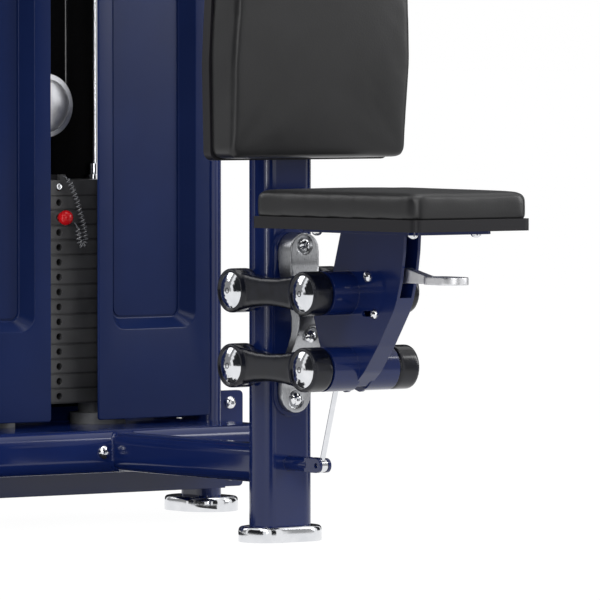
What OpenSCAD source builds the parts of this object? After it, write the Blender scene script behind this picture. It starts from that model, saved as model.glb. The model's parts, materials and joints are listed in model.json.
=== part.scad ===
// Pec deck machine with a weight tower, a parallel-link seat and two overhead fly arms.
// Millimetres, +Z up, the user faces -Y and the user's left hand is at +X.
// Lengths along Y are first measured from the centre post's axis.

/* [Post and base] */
// Width of the flat-oval centre post, across the machine
post_w = 105; // [95:1:115]
// Depth of the flat-oval centre post, along the machine
post_d = 52; // [48:1:58]
// Wall of the frame tubes
tube_wall = 3; // [2:0.5:4]
// Height of a chrome foot
foot_h = 24; // [14:1:26]
// Rim by which a chrome foot stands out past its tube
foot_rim = 17; // [12:1:20]
// Rim by which a rear foot stands out past its upright
rear_rim = 28; // [17:1:30]
// Front of the base beam, behind the post's axis
beam_y = 412; // [380:1:430]
// Height of the base beam's lower face above the floor
beam_z = 84; // [70:1:90]
// Height of the base beam's section
beam_h = 68; // [50:1:70]
// Half length of the base beam
beam_half = 286; // [260:1:290]
// Width of the tube from the base beam to the post
spine_w = 56; // [44:1:64]
// Height of the tube from the base beam to the post
spine_h = 60; // [46:1:60]

/* [Tower] */
// Half distance between the tower's uprights
upright_x = 315; // [312:1:330]
// Place of the uprights and guide rods behind the post's axis
tower_y = 650; // [640:1:690]
// Width of an upright tube
upright_w = 45; // [40:1:50]
// Depth of an upright tube
upright_d = 80; // [70:1:90]
// Height of the tower's uprights
upright_top = 1660; // [1600:1:1720]
// Inner edge of a front shroud panel, from the mid plane
panel_gap = 46; // [40:1:52]
// Width of a front shroud panel
panel_w = 234; // [222:1:236]
// Front of the panels' inner edges, behind the post's axis
panel_y = 557; // [552:1:560]
// Angle by which a panel's outer edge falls back
panel_angle = 4.5; // [3:0.5:5]
// Depth of a panel's moulding
panel_t = 28; // [27:1:30]
// Depth of a panel's recessed field
recess_t = 24; // [18:1:24]
// Lower edge of the shroud panels
panel_z = 160; // [155:1:175]
// Upper edge of the shroud panels
panel_top = 1530; // [1400:1:1530]
// Depth of the rear cover behind the uprights
rear_d = 34; // [24:1:50]

/* [Weight stack] */
// Number of plates, with the head plate
plate_n = 15; // [10:1:18]
// Pitch of the plates
plate_t = 24; // [20:1:26]
// Width of a plate
plate_w = 300; // [280:1:320]
// Depth of a plate
plate_d = 96; // [84:1:100]
// Half distance between the guide rods
rod_x = 108; // [96:0.5:110]
// Diameter of a guide rod
rod_d = 25; // [20:1:28]
// Plates that hang from the head plate at the pin's setting
pinned_n = 2; // [1:1:6]
// Height of the tray that carries the stack
tray_z = 150; // [136:1:150]
// Diameter of the selector stem
stem_d = 22; // [20:1:26]
// Diameter of the selector pin
pin_d = 9; // [8:0.5:10]
// Outer diameter of a stack bumper
bumper_d = 64; // [50:1:70]
// Outer diameter of a cable pulley
pulley_d = 104; // [96:1:110]
// Width of a cable pulley
pulley_w = 20; // [16:1:24]
// Diameter of the cable
cable_d = 5; // [4:0.5:6]

/* [Seat] */
// Height of the post's upper link pivot
link_z = 388; // [380:1:395]
// Distance between the upper and the lower link
link_rise = 115; // [110:1:125]
// Length of a link between its pivots
link_len = 186; // [180:1:196]
// Diameter of a link's eye
eye_d = 68; // [60:1:72]
// Outer face of the links, from the mid plane
eye_x = 101; // [97:1:107]
// Diameter of the pivot shafts
shaft_d = 24; // [20:1:28]
// Width of the seat at the back
seat_back_w = 286; // [270:1:300]
// Width of the seat at the front
seat_front_w = 219; // [205:1:240]
// Depth of the seat
seat_d = 366; // [352:1:384]
// Back edge of the seat, ahead of the post's axis
seat_y = 120; // [112:1:128]
// Under side of the seat board
seat_z = 487; // [480:1:500]
// Thickness of the seat and back boards
board_t = 18; // [14:1:22]
// Thickness of the seat pad over its board
seat_pad_t = 40; // [32:1:50]
// Gap between the seat bracket's side plates
cheek_gap = 22; // [20:1:26]
// Thickness of the seat bracket's side plates
cheek_t = 5; // [4:0.5:6]

/* [Back pad] */
// Half width of the back pad at its widest
pad_half = 172; // [160:1:180]
// Height of the back pad's lower edge
pad_z = 588; // [570:1:600]
// Height of the back pad
pad_h = 560; // [500:1:600]
// Thickness of the back pad over its board
pad_t = 66; // [55:1:75]
// Thickness of the plate between post and back board
pad_plate_t = 8; // [6:1:10]

/* [Fly arms] */
// Arm pivot, from the mid plane
pivot_x = 170; // [164:1:174]
// Arm pivot, ahead of the post's axis
pivot_y = 140; // [130:1:150]
// Diameter of an arm's shaft
arm_shaft_d = 30; // [26:1:34]
// Reach of an arm from its pivot to the handle's swivel
arm_reach = 540; // [480:1:580]
// Diameter of an arm tube
arm_d = 50; // [44:1:54]
// Radius at which the cable lies on a cam
cam_r = 100; // [92:1:104]
// Height of the boom tubes
boom_h = 80; // [70:1:90]
// Length of a hand grip
grip_len = 300; // [240:1:320]
// Diameter of a hand grip
grip_d = 38; // [34:1:40]
// Step between the start positions
start_step = 15; // [12:1:20]

/* [Fits] */
// Radial clearance of a shaft in its bore
fit = 0.05; // [0.02:0.01:0.1]
// Gap between parts that pass each other
gap = 2; // [1:0.5:3]

/* [Hidden] */
$fn = 48;
navy = "#27305a";
chrome = "#d8dade";
black = "#1b1b1d";
steel = "#8a8d92";
// Free gap between curved faces of parts that move past each other
clear = 0.3;
// Bolts
bolt_d = 12;
bolt_head_d = 22;
bolt_head_h = 8;
// Frame
spine_z = beam_z + beam_h / 2;
post_top = upright_top + 10;
beam_wall = 4;
beam_round = 22;
beam_bolt_x = 45;
cross_h = boom_h - 20;
boom_w = upright_w;
boom_in = upright_x - boom_w / 2;
boom_end = pivot_y + 50;
head_d = 90;
cross_r = 12;
boom_r = 10;
// Tower
tray_t = 8;
skirt_t = 6;
skirt_z = 42;
tray_in = upright_x - upright_w / 2;
rear_wall = 3;
rear_half = upright_x + upright_w / 2;
rear_y = tower_y + upright_d / 2 + clear;
clip_h = 30;
clip_reach = 90;
clip_z = [for (k = [0.1, 0.5, 0.9]) panel_z + k * (panel_top - panel_z - clip_h)];
lug_w = 56;
lug_h = 158;
lug_z = 37;
lug_t = 8;
lug_bolt_x = 2;
lug_edge = 20;
clamp_t = 30;
clamp_d = 60;
clamp_drop = 120;
clamp_z = upright_top - clamp_drop;
panel_wall = 3;
field_in = 30;
field_low = 145;
field_high = 80;
field_bevel = 16;
sheet_t = 4;
field_r = 26;
// Stack
plate_gap = 0.4;
plate_r = 6;
rod_hole = rod_d + 4;
stem_hole = stem_d + 4;
pin_hole = pin_d + 2;
stack_z = tray_z + 36;
stack_y = tower_y - plate_d / 2;
head_z = stack_z + (plate_n - 1) * plate_t;
stack_top = head_z + plate_t;
fixed_n = plate_n - 1 - pinned_n;
pin_z = stack_z + (fixed_n + 0.5) * plate_t;
knob_d = 24;
knob_gap = 11;
bush_h = 26;
bush_collar = 24;
bush_rim = 8;
bumper_step = 26;
bumper_flat = 2;
bumper_h = stack_z - tray_z;
// Pulleys and cable
pulley_r = pulley_d / 2 - 6;
groove_r = pulley_r - cable_d / 2 - clear;
axle_d = 12;
hanger_t = 8;
hanger_w = 44;
float_z = stack_top + 120;
cable_x = pivot_x + cam_r;
cable_z = upright_top + boom_h + 15;
corner_x = cable_x - pulley_r;
corner_y = tower_y - pulley_r;
drop_x = 2 * pulley_r;
drop_z = cable_z - pulley_r;
shelf_t = 8;
// Seat linkage
pivot_post = -5;
pivot_seat = pivot_post - link_len;
low_z = link_z - link_rise;
eye_t = 39;
eye_lip = 5;
eye_in = eye_x - eye_t;
waist_d = 43;
waist_flare = 9;
waist_t = 22;
eye_round = 4;
eye_edge = 3;
cap_d = 57;
cap_h = 8;
post_tube_d = shaft_d + 10;
tube_end = eye_in - clear;
plate_under = 6;
cheek_x = cheek_gap / 2;
cheek_top = seat_z - plate_under;
bracket_d = 150;
lever_y = pivot_seat - 54;
lever_z = link_z + 26;
lever_pin_d = 10;
lever_hub_d = 26;
lever_w = 14;
lever_t = 12;
lever_bend = 85;
lever_rise = 15;
loop_w = 44;
loop_len = 82;
loop_bar = 8;
loop_y = pivot_seat - 228;
lever_low = 8;
stop_y = pivot_seat - 72;
stop_z = link_z - 30;
stop_d = 8;
stop_slot = 35;
strip_t = 5;
gas_y = -107;
gas_z = 121;
gas_top_y = pivot_seat + 13;
gas_top_z = link_z - 43;
gas_pin_d = 8;
gas_rod_d = 8;
gas_d = 16;
gas_len = 108;
gas_rod_len = 167;
gas_run = norm([gas_top_y - gas_y, gas_top_z - gas_z]);
gas_tilt = atan2(gas_y - gas_top_y, gas_top_z - gas_z);
ear_r = 11;
ear_len = 26;
fork_t = 5;
fork_boss_d = 24;
gas_eye_d = 17;
gas_eye_out = 25;
gas_eye_w = 16;
boss_gap = 12;
// Casting on the post
cast_w = 54;
cast_low = 199;
cast_h = 277;
cast_foot_t = 13;
cast_head_t = 35;
cast_bow = 32;
cast_hollow = 36;
cast_end = 0.15;
cast_n = 28;
cast_sink = 3;
back_t = 4;
back_rim = 6;
cast_back = -post_d / 2 - back_t;
function cast_run(f) = min(1, max(0, (f - cast_end) / (1 - 2 * cast_end)));
function cast_arch(f) = pow(sin(180 * cast_run(f)), 2);
function cast_face(f) = cast_back - cast_foot_t - (cast_head_t - cast_foot_t) * cast_run(f)
  - cast_bow * cast_arch(f);
function cast_rear(f) = cast_back - cast_hollow * cast_arch(f);
cast_bolt = [0.077, 0.432, 0.934];
// Back pad
pad_back = -(post_d / 2 + pad_plate_t);
pad_wide_z = 150;
pad_turn_z = 300;
pad_rim = 9;
pad_edge_r = 16;
pad_plate_w = 140;
pad_plate_h = 300;
pad_front = pad_back - board_t - pad_t;
// Fly arms
head_z0 = upright_top + 10;
flange_t = 4;
bush_d = arm_shaft_d + 14;
disc_t = 12;
disc_r = 112;
disc_z = head_z0 - flange_t - 2 - disc_t;
hub_r = 40;
hub_h = 72;
hub_z = disc_z - 2 - hub_h;
arm_z = hub_z + hub_h / 2;
start_r = 95;
start_d = 10;
start_draw = 14;
cam_t = 20;
cam_lip = 5;
cam_edge = 4;
cam_dish = 6;
hub_cap = 10;
cam_z = cable_z - cam_t / 2;
swivel_d = 25;
swivel_r = 30;
handle_drop = 330;
handle_in = 80;
bar_d = 26;
grip_z = hub_z - handle_drop;
grip_end = 15;
// Overall length, which sets the origin
y_front = -(seat_y + seat_d);
y_back = rear_y + rear_d;
y_mid = (y_front + y_back) / 2;
// Route of the curly lanyard from the head plate to the pin's knob
lanyard_d = 9;
lanyard = [[8, 601.7, 552], [8, 595, 551], [11, 590, 545], [16, 587, 532], [22, 584, 514],
  [27, 582, 495], [32, 580, 476], [35, 579, 460], [35, 578, 448], [30, 577, 441], [24, 576, 443],
  [21, 576, 452], [20, 576, 462], [19, 577, 470], [13.6, 578, 478]];

// Every module below is placed so that the origin is under the middle of the machine
module placed() translate([0, -y_mid, 0]) children();
module mirrored() mirror([1, 0, 0]) children();
module both() {
  children();
  mirrored() children();
}

// Flat shapes
module rounded(w, h, r) {
  square([w - 2 * r, h], center = true);
  square([w, h - 2 * r], center = true);
  for (sx = [-1, 1], sy = [-1, 1])
    translate([sx * (w / 2 - r), sy * (h / 2 - r)]) circle(r);
}
module oval(w, h) rounded(w, h, min(w, h) / 2 - 0.01);
module oval_pipe(w, h, wall) difference() {
  oval(w, h);
  oval(w - 2 * wall, h - 2 * wall);
}
module box_pipe(w, h, r, wall) difference() {
  rounded(w, h, r);
  rounded(w - 2 * wall, h - 2 * wall, r - wall);
}
// Corner i of an outline with its own radius, as points along the arc
function unit(v) = v / norm(v);
function corner(p, a, b, r, n) = let (
    u = unit(a - p), v = unit(b - p), half = acos(u * v) / 2,
    c = p + unit(u + v) * r / sin(half),
    s = p + u * r / tan(half) - c, e = p + v * r / tan(half) - c,
    a0 = atan2(s[1], s[0]), turn = atan2(e[1], e[0]) - a0,
    sweep = turn > 180 ? turn - 360 : turn < -180 ? turn + 360 : turn)
  [for (i = [0:n]) c + r * [cos(a0 + sweep * i / n), sin(a0 + sweep * i / n)]];
function filleted(pts, radii, n = 6) = [for (i = [0:len(pts) - 1])
  each corner(pts[i], pts[(i + len(pts) - 1) % len(pts)], pts[(i + 1) % len(pts)], radii[i], n)];

// Bars along the three axes from a flat shape drawn in the plane across them
module along_x(len) rotate([90, 0, 90]) translate([0, 0, -len / 2]) linear_extrude(len) children();
module along_y(y0, len) translate([0, y0 + len, 0]) rotate([90, 0, 0]) linear_extrude(len) children();
module rod_x_axis(d, len) rotate([0, 90, 0]) cylinder(d = d, h = len, center = true);

// Button bolt with its head on the plane z = 0 and its shank below
module bolt(d, head_d, head_h, len) {
  difference() {
    rotate_extrude() polygon(concat([[0, 0], [head_d / 2, 0]],
      [for (a = [20:14:90]) [head_d / 2 * cos(a), head_h * sin(a)]]));
    translate([0, 0, head_h * 0.45]) cylinder(d = d * 0.6, h = head_h, $fn = 6);
  }
  translate([0, 0, -len]) cylinder(d = d, h = len + 0.5);
}

// Frame
module foot(w, d, rim) difference() {
  union() {
    linear_extrude(foot_h * 0.75) oval(w + 2 * rim, d + 2 * rim);
    linear_extrude(foot_h) oval(w + 2 * rim - 6, d + 2 * rim - 6);
  }
  translate([0, 0, foot_h * 0.5]) linear_extrude(foot_h) oval(w + 2 * clear, d + 2 * clear);
}
module sleeve(d) rod_x_axis(d, 2 * tube_end);
// The post is one weldment with its link sleeves, casting pad and gas spring fork
module post_tube() color(navy) placed() difference() {
  union() {
    difference() {
      translate([0, 0, foot_h * 0.5]) linear_extrude(post_top - foot_h * 0.5)
        oval_pipe(post_w, post_d, tube_wall);
      for (z = [link_z, low_z]) translate([0, pivot_post, z]) rod_x_axis(post_tube_d - 1, post_w + 20);
    }
    for (z = [link_z, low_z]) translate([0, pivot_post, z]) sleeve(post_tube_d);
    translate([0, 0, cast_low + cast_h / 2]) along_y(-post_d / 2 - back_t, back_t + 1)
      oval(cast_w + 2 * back_rim, cast_h + 2 * back_rim);
    for (s = [-1, 1]) translate([s * (boss_gap + fork_t) / 2, 0, 0]) fork_ear();
    fork_boss();
  }
  for (z = [link_z, low_z]) translate([0, pivot_post, z]) rod_x_axis(shaft_d, 4 * eye_x);
  translate([0, gas_y, gas_z]) rod_x_axis(gas_pin_d + 2 * fit, 4 * boss_gap);
  for (f = [cast_bolt[0], cast_bolt[2]]) translate([0, -post_d / 2, cast_low + cast_h * f]) rotate([90, 0, 0])
    cylinder(d = bolt_d, h = 4 * tube_wall, center = true);
}
module fork_boss() translate([0, 0, gas_z])
  along_y(gas_y + ear_len, -gas_y - ear_len - post_d / 2 + 1) circle(d = fork_boss_d);
module fork_ear() {
  translate([0, gas_y, gas_z]) rod_x_axis(2 * ear_r, fork_t);
  translate([-fork_t / 2, gas_y, gas_z - ear_r]) cube([fork_t, ear_len + 4, 2 * ear_r]);
}
module feet() color(chrome) placed() {
  foot(post_w, post_d, foot_rim);
  both() translate([upright_x, tower_y]) foot(upright_w, upright_d, rear_rim);
}
module spine_tube() color(navy) placed()
  translate([0, 0, spine_z]) along_y(post_d / 2, beam_y - post_d / 2)
    box_pipe(spine_w, spine_h, 18, tube_wall);
module beam_profile(inset) translate([0, spine_z]) intersection() {
  translate([(beam_y + panel_y - skirt_t) / 2 + beam_round, 0])
    rounded(panel_y - skirt_t - beam_y + 2 * beam_round - 2 * inset, beam_h - 2 * inset,
      beam_round - inset);
  translate([(beam_y + panel_y - skirt_t) / 2 - inset / 2, 0])
    square([panel_y - skirt_t - beam_y + inset, 2 * beam_h], center = true);
}
module base_beam() color(navy) placed() difference() {
  along_x(2 * beam_half) beam_profile(0);
  along_x(2 * beam_half - 2 * beam_wall) beam_profile(beam_wall);
  both() translate([beam_bolt_x, beam_y + beam_wall / 2, spine_z]) rotate([90, 0, 0])
    cylinder(d = bolt_d, h = 4 * beam_wall, center = true);
}
module lug_place() translate([upright_x + upright_w / 2 + lug_w / 2, tower_y - lug_t, lug_z + lug_h / 2])
  rotate([90, 0, 0]) children();
module lug_bolts_at() for (s = [-1, 1])
  translate([lug_bolt_x, s * (lug_h / 2 - lug_edge), 0]) children();
// An upright is one weldment with the lug plate at its outer side
module upright() {
  translate([upright_x, tower_y, foot_h * 0.5])
    linear_extrude(upright_top - foot_h * 0.5) oval_pipe(upright_w, upright_d, tube_wall);
  lug_place() difference() {
    translate([-1, 0, -lug_t]) linear_extrude(lug_t) rounded(lug_w + 2, lug_h, 8);
    lug_bolts_at() cylinder(d = bolt_d, h = 4 * lug_t, center = true);
  }
}
module uprights() color(navy) placed() both() upright();
module frame_bolts() color(chrome) placed() {
  both() {
    translate([beam_bolt_x, beam_y, spine_z]) rotate([90, 0, 0]) bolt(bolt_d, bolt_head_d, bolt_head_h, 20);
    lug_place() lug_bolts_at() bolt(bolt_d, bolt_head_d, bolt_head_h, 16);
  }
  for (f = cast_bolt) translate([0, cast_face(f) + cast_sink, cast_low + cast_h * f]) rotate([90, 0, 0])
    bolt(bolt_d, bolt_head_d, bolt_head_h, cast_rear(f) - cast_face(f) - cast_sink
      + (f == cast_bolt[1] ? 0 : back_t + tube_wall));
}
module tower_tray() color(navy) placed() difference() {
  union() {
    translate([-tray_in, panel_y - skirt_t, tray_z - tray_t])
      cube([2 * tray_in, rear_y - panel_y + skirt_t, tray_t]);
    translate([-tray_in, panel_y - skirt_t, skirt_z]) cube([2 * tray_in, skirt_t, tray_z - skirt_z]);
    translate([-tray_in, rear_y - skirt_t, skirt_z]) cube([2 * tray_in, skirt_t, tray_z - skirt_z]);
  }
  both() translate([rod_x, tower_y, 0]) cylinder(d = rod_d + 2 * fit, h = 2 * tray_z);
}

// Shroud: moulded front panels, clips and rear cover
module field(grow) translate([panel_w / 2, (panel_top + panel_z + field_low - field_high) / 2])
  rounded(panel_w - 2 * field_in - 2 * grow,
    panel_top - panel_z - field_low - field_high - 2 * grow, field_r);
module panel_slab(depth) translate([0, depth, 0]) rotate([90, 0, 0]) linear_extrude(depth) children();
module shroud() translate([panel_gap, panel_y, 0]) rotate([0, 0, panel_angle]) difference() {
  union() {
    panel_slab(sheet_t) translate([panel_w / 2, (panel_top + panel_z) / 2])
      rounded(panel_w, panel_top - panel_z, 5);
    panel_slab(panel_t) field(-panel_wall);
    translate([panel_w - panel_wall, 0, panel_z + field_r])
      cube([panel_wall, panel_t, panel_top - panel_z - 2 * field_r]);
  }
  for (k = [1:3]) translate([0, recess_t * (k - 3) / 3, 0]) panel_slab(recess_t) field(field_bevel * k / 3);
}
module shroud_left() color(navy) placed() shroud();
module shroud_right() color(navy) placed() mirrored() shroud();
module shroud_clips() color(black) placed() both() for (z = clip_z) difference() {
  translate([panel_gap + panel_w - clip_reach, panel_y + panel_t, z])
    cube([tray_in - panel_gap - panel_w + clip_reach, tower_y - panel_y - panel_t, clip_h]);
  translate([panel_gap, panel_y, 0]) rotate([0, 0, panel_angle])
    translate([-panel_w, -panel_w, 0]) cube([3 * panel_w, panel_w + panel_t, 2 * panel_top]);
}
module rear_cover() color(navy) placed() translate([0, rear_y, 0]) difference() {
  translate([-rear_half, 0, tray_z]) cube([2 * rear_half, rear_d, panel_top - tray_z]);
  translate([-rear_half + rear_wall, -1, tray_z + rear_wall])
    cube([2 * rear_half - 2 * rear_wall, rear_d - rear_wall + 1, panel_top - tray_z - 2 * rear_wall]);
}

// Stack
module clamp_bar() color(navy) placed() difference() {
  translate([-tray_in, tower_y - clamp_d / 2, clamp_z]) cube([2 * tray_in, clamp_d, clamp_t]);
  both() translate([rod_x, tower_y, clamp_z - 1]) cylinder(d = rod_d + 2 * fit, h = clamp_t / 2 + 1);
  both() translate([pulley_r, tower_y, clamp_z - 1]) cylinder(d = cable_d + 12, h = 2 * clamp_t);
}
module guide_rods() color(chrome) placed() both() translate([rod_x, tower_y, tray_z - tray_t])
  cylinder(d = rod_d, h = clamp_z + clamp_t / 2 - tray_z + tray_t);
module stack_bumpers() color(steel) placed() both() translate([rod_x, tower_y, tray_z]) difference() {
  union() {
    cylinder(d = bumper_d, h = bumper_h);
    cylinder(d = bumper_d + bumper_step, h = bumper_h / 2);
  }
  translate([0, 0, -1]) cylinder(d = rod_d + 2 * clear, h = bumper_h + 2);
  translate([-bumper_d, rear_y - tower_y - bumper_flat, -1]) cube([2 * bumper_d, bumper_d, bumper_h + 2]);
}
module plate(k) translate([0, tower_y, stack_z + k * plate_t]) difference() {
  union() {
    linear_extrude(plate_t - plate_gap) rounded(plate_w - 3, plate_d - 3, plate_r);
    translate([0, 0, 2]) linear_extrude(plate_t - plate_gap - 4) rounded(plate_w, plate_d, plate_r);
  }
  both() translate([rod_x, 0, -1]) cylinder(d = rod_hole, h = plate_t + 2);
  translate([0, 0, -1]) cylinder(d = stem_hole, h = plate_t + 2);
  translate([0, 0, plate_t / 2]) rotate([90, 0, 0]) cylinder(d = pin_hole, h = plate_d);
}
module stack_plates() color(steel) placed() for (k = [0:fixed_n - 1]) plate(k);
module lifted_plates() color(steel) placed() for (k = [fixed_n:plate_n - 2]) plate(k);
// The head plate carries the block that the lanyard is tied to
module head_plate() color(steel) placed() difference() {
  union() {
    translate([0, tower_y, head_z]) linear_extrude(plate_t) rounded(plate_w, plate_d, plate_r);
    translate([lanyard[0][0] - lanyard_d / 2, stack_y, stack_top - 1]) cube([lanyard_d, 10, lanyard_d + 1]);
  }
  both() translate([rod_x, tower_y, head_z - 1]) cylinder(d = rod_hole, h = plate_t + 2);
  translate([0, tower_y, head_z - 1]) cylinder(d = stem_d, h = plate_t + 1 - 4);
  translate([0, tower_y, head_z + plate_t / 2]) rotate([90, 0, 0]) cylinder(d = pin_hole, h = plate_d);
}
module selector_stem() color(chrome) placed() difference() {
  translate([0, tower_y, stack_z + 4]) cylinder(d = stem_d, h = head_z + plate_t - 4 - stack_z - 4);
  for (k = [0:plate_n - 1]) translate([0, tower_y, stack_z + (k + 0.5) * plate_t])
    rotate([90, 0, 0]) cylinder(d = pin_d + 2 * fit, h = 2 * stem_d, center = true);
}
module rod_bushes() color(chrome) placed() both() translate([rod_x, tower_y, stack_top]) difference() {
  union() {
    cylinder(d = rod_d + bush_collar, h = bush_rim);
    cylinder(d = rod_d + bush_collar * 0.6, h = bush_h);
  }
  translate([0, 0, -1]) cylinder(d = rod_d + 2 * fit, h = bush_h + 2);
}
module selector_pin() color(chrome) placed() translate([0, tower_y + stem_d / 2, pin_z])
  rotate([90, 0, 0]) cylinder(d = pin_d, h = plate_d / 2 + stem_d / 2 + knob_gap);
module pin_knob() color("#c8141c") placed() translate([0, stack_y - knob_gap, pin_z]) rotate([90, 0, 0])
  rotate_extrude() polygon(concat([[0, 4], [pin_d / 2, 4], [pin_d / 2, -2], [pin_d / 2 + 4.5, -2]],
    [for (a = [-55:15:80]) [knob_d / 2 * cos(a), knob_d / 2 - 4 + knob_d / 2 * sin(a)]],
    [[0, knob_d - 4]]));
function ring(p, dir, r, n) = let (side = unit(cross(dir, [0, 1, 0.2])), up = cross(side, unit(dir)))
  [for (i = [0:n - 1]) p + r * (cos(360 * i / n) * side + sin(360 * i / n) * up)];
module tube(route, d, n) {
  m = len(route);
  rings = [for (i = [0:m - 1])
    each ring(route[i], route[min(i + 1, m - 1)] - route[max(i - 1, 0)], d / 2, n)];
  walls = [for (i = [0:m - 2], j = [0:n - 1])
    [i * n + j, i * n + (j + 1) % n, (i + 1) * n + (j + 1) % n, (i + 1) * n + j]];
  polyhedron(rings, concat([[for (j = [n - 1:-1:0]) j]], walls, [[for (j = [0:n - 1]) (m - 1) * n + j]]));
}
module lanyard_cord() color(black) placed() tube(lanyard, lanyard_d, 10);

// Pulleys and cable
module pulley(bore) rotate_extrude() polygon([
  [bore / 2 + fit, -pulley_w / 2], [pulley_d / 2, -pulley_w / 2],
  [pulley_d / 2, -pulley_w / 2 + 4], [groove_r, -cable_d / 2 - clear], [groove_r, cable_d / 2 + clear],
  [pulley_d / 2, pulley_w / 2 - 4], [pulley_d / 2, pulley_w / 2], [bore / 2 + fit, pulley_w / 2]]);
module pulley_hanger() color(black) placed() {
  translate([-hanger_w / 2, tower_y + pulley_w / 2 + gap, stack_top])
    cube([hanger_w, hanger_t, float_z + hanger_w / 2 - stack_top]);
  translate([-hanger_w / 2, tower_y - 10, stack_top]) cube([hanger_w, pulley_w + gap, hanger_t]);
  translate([0, tower_y + pulley_w / 2 + gap + 1, float_z]) rotate([90, 0, 0])
    cylinder(d = axle_d, h = pulley_w + gap + 1);
}
module floating_pulley() color(steel) placed()
  translate([0, tower_y, float_z]) rotate([90, 0, 0]) pulley(axle_d);
module pulley_cover() color(chrome) placed()
  translate([0, tower_y - pulley_w / 2, float_z]) rotate([90, 0, 0])
    rotate_extrude() polygon(concat([[0, 0.6], [axle_d / 2 + 2, 0.6], [axle_d / 2 + 2, 0],
      [pulley_d / 2 - 1, 0], [pulley_d / 2 - 1, 3]],
      [for (a = [0:10:90]) [(pulley_d / 2 - 9) * cos(a), 3 + 12 * sin(a)]]));
module drop_brackets() color(black) placed() both() difference() {
  union() {
    for (s = [-1, 1])
      translate([drop_x - 25, tower_y + s * (pulley_w / 2 + gap + 3) - 3, clamp_z + clamp_t])
      cube([50, 6, drop_z + 25 - clamp_z - clamp_t]);
    translate([drop_x, tower_y, drop_z]) rotate([90, 0, 0])
      cylinder(d = axle_d, h = pulley_w + 2 * gap + 16, center = true);
  }
}
module drop_pulley() translate([drop_x, tower_y, drop_z]) rotate([90, 0, 0]) pulley(axle_d);
module drop_pulley_left() color(steel) placed() drop_pulley();
module drop_pulley_right() color(steel) placed() mirrored() drop_pulley();
module corner_shelf() {
  translate([corner_x - 30, corner_y - 35, cable_z - pulley_w / 2 - gap - shelf_t])
    cube([boom_in - corner_x + 30 + tube_wall, 70, shelf_t]);
  translate([corner_x, corner_y, cable_z - pulley_w / 2 - gap - 1])
    cylinder(d = axle_d, h = pulley_w + gap + 6);
}
module corner_pulley() translate([corner_x, corner_y, cable_z]) pulley(axle_d);
module corner_pulley_left() color(steel) placed() corner_pulley();
module corner_pulley_right() color(steel) placed() mirrored() corner_pulley();
module bend(r, d, a) rotate_extrude(angle = a) translate([r, 0]) circle(d = d, $fn = 24);
module lift_cable() color(black) placed() {
  both() {
    translate([cable_x, -pivot_y, cable_z]) rotate([-90, 0, 0])
      cylinder(d = cable_d, h = corner_y + pivot_y);
    translate([corner_x, corner_y, cable_z]) bend(pulley_r, cable_d, 90);
    translate([drop_x, tower_y, cable_z]) rotate([0, 90, 0]) cylinder(d = cable_d, h = corner_x - drop_x);
    translate([drop_x, tower_y, drop_z]) rotate([90, 0, 0]) rotate([0, 0, 90]) bend(pulley_r, cable_d, 90);
    translate([pulley_r, tower_y, float_z]) cylinder(d = cable_d, h = drop_z - float_z);
  }
  translate([0, tower_y, float_z]) rotate([90, 0, 0]) rotate([0, 0, 180]) bend(pulley_r, cable_d, 180);
}

// Overhead frame and fly arms
// A boom is one weldment with the shelf and stud that carry its corner pulley
module booms() color(navy) placed() both() {
  translate([upright_x, 0, upright_top + boom_h / 2])
    along_y(-boom_end, boom_end + tower_y + upright_d / 2) box_pipe(boom_w, boom_h, boom_r, tube_wall);
  for (y = [-boom_end, tower_y + upright_d / 2 - tube_wall])
    translate([upright_x, 0, upright_top + boom_h / 2]) along_y(y, tube_wall) rounded(boom_w, boom_h, boom_r);
  corner_shelf();
}
module cross_beam(y, d) translate([0, y, head_z0 + cross_h / 2]) along_x(2 * boom_in)
  box_pipe(d, cross_h, cross_r, tube_wall);
module cross_beams() color(navy) placed() {
  cross_beam(0, post_d);
  difference() {
    cross_beam(-pivot_y, head_d);
    both() translate([pivot_x, -pivot_y, head_z0 - 1]) cylinder(d = bush_d, h = cross_h + 2);
  }
}
module arm_bushes() color("#b08d4a") placed() both() translate([pivot_x, -pivot_y, head_z0]) difference() {
  union() {
    cylinder(d = bush_d, h = cross_h);
    translate([0, 0, -flange_t]) cylinder(d = bush_d + 16, h = flange_t);
    translate([0, 0, cross_h]) cylinder(d = bush_d + 16, h = flange_t);
  }
  translate([0, 0, -2 * flange_t]) cylinder(d = arm_shaft_d + 2 * fit, h = cross_h + 4 * flange_t);
}
module cam() translate([pivot_x, -pivot_y, 0]) {
  translate([0, 0, cable_z]) rotate_extrude() polygon([[0, -cam_t / 2], [cam_r + cam_lip, -cam_t / 2],
    [cam_r + cam_lip, -cam_t / 2 + cam_edge], [cam_r - cable_d / 2 - clear, -cable_d / 2 - clear],
    [cam_r - cable_d / 2 - clear, cable_d / 2 + clear], [cam_r + cam_lip, cam_t / 2 - cam_edge],
    [cam_r + cam_lip, cam_t / 2], [cam_r * 0.85, cam_t / 2], [cam_r * 0.8, cam_t / 2 - cam_dish],
    [arm_shaft_d * 1.2, cam_t / 2 - cam_dish], [arm_shaft_d, cam_t / 2], [0, cam_t / 2]]);
  translate([0, 0, head_z0 + cross_h + flange_t + 1])
    cylinder(d = 2 * arm_shaft_d, h = cam_z - head_z0 - cross_h - flange_t);
  translate([0, 0, hub_z - hub_cap]) cylinder(d = arm_shaft_d, h = cam_z - hub_z + hub_cap + 2);
  translate([0, 0, hub_z - hub_cap]) cylinder(d = arm_shaft_d + 2 * hub_cap, h = hub_cap - gap / 2);
  difference() {
    translate([0, 0, disc_z]) cylinder(r = disc_r, h = disc_t);
    for (a = [-2:1]) rotate(-a * start_step) translate([start_r, 0, disc_z - 1])
      cylinder(d = start_d + 2, h = disc_t + 2);
  }
}
module cam_left() color(chrome) placed() cam();
module cam_right() color(chrome) placed() mirrored() cam();
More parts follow.
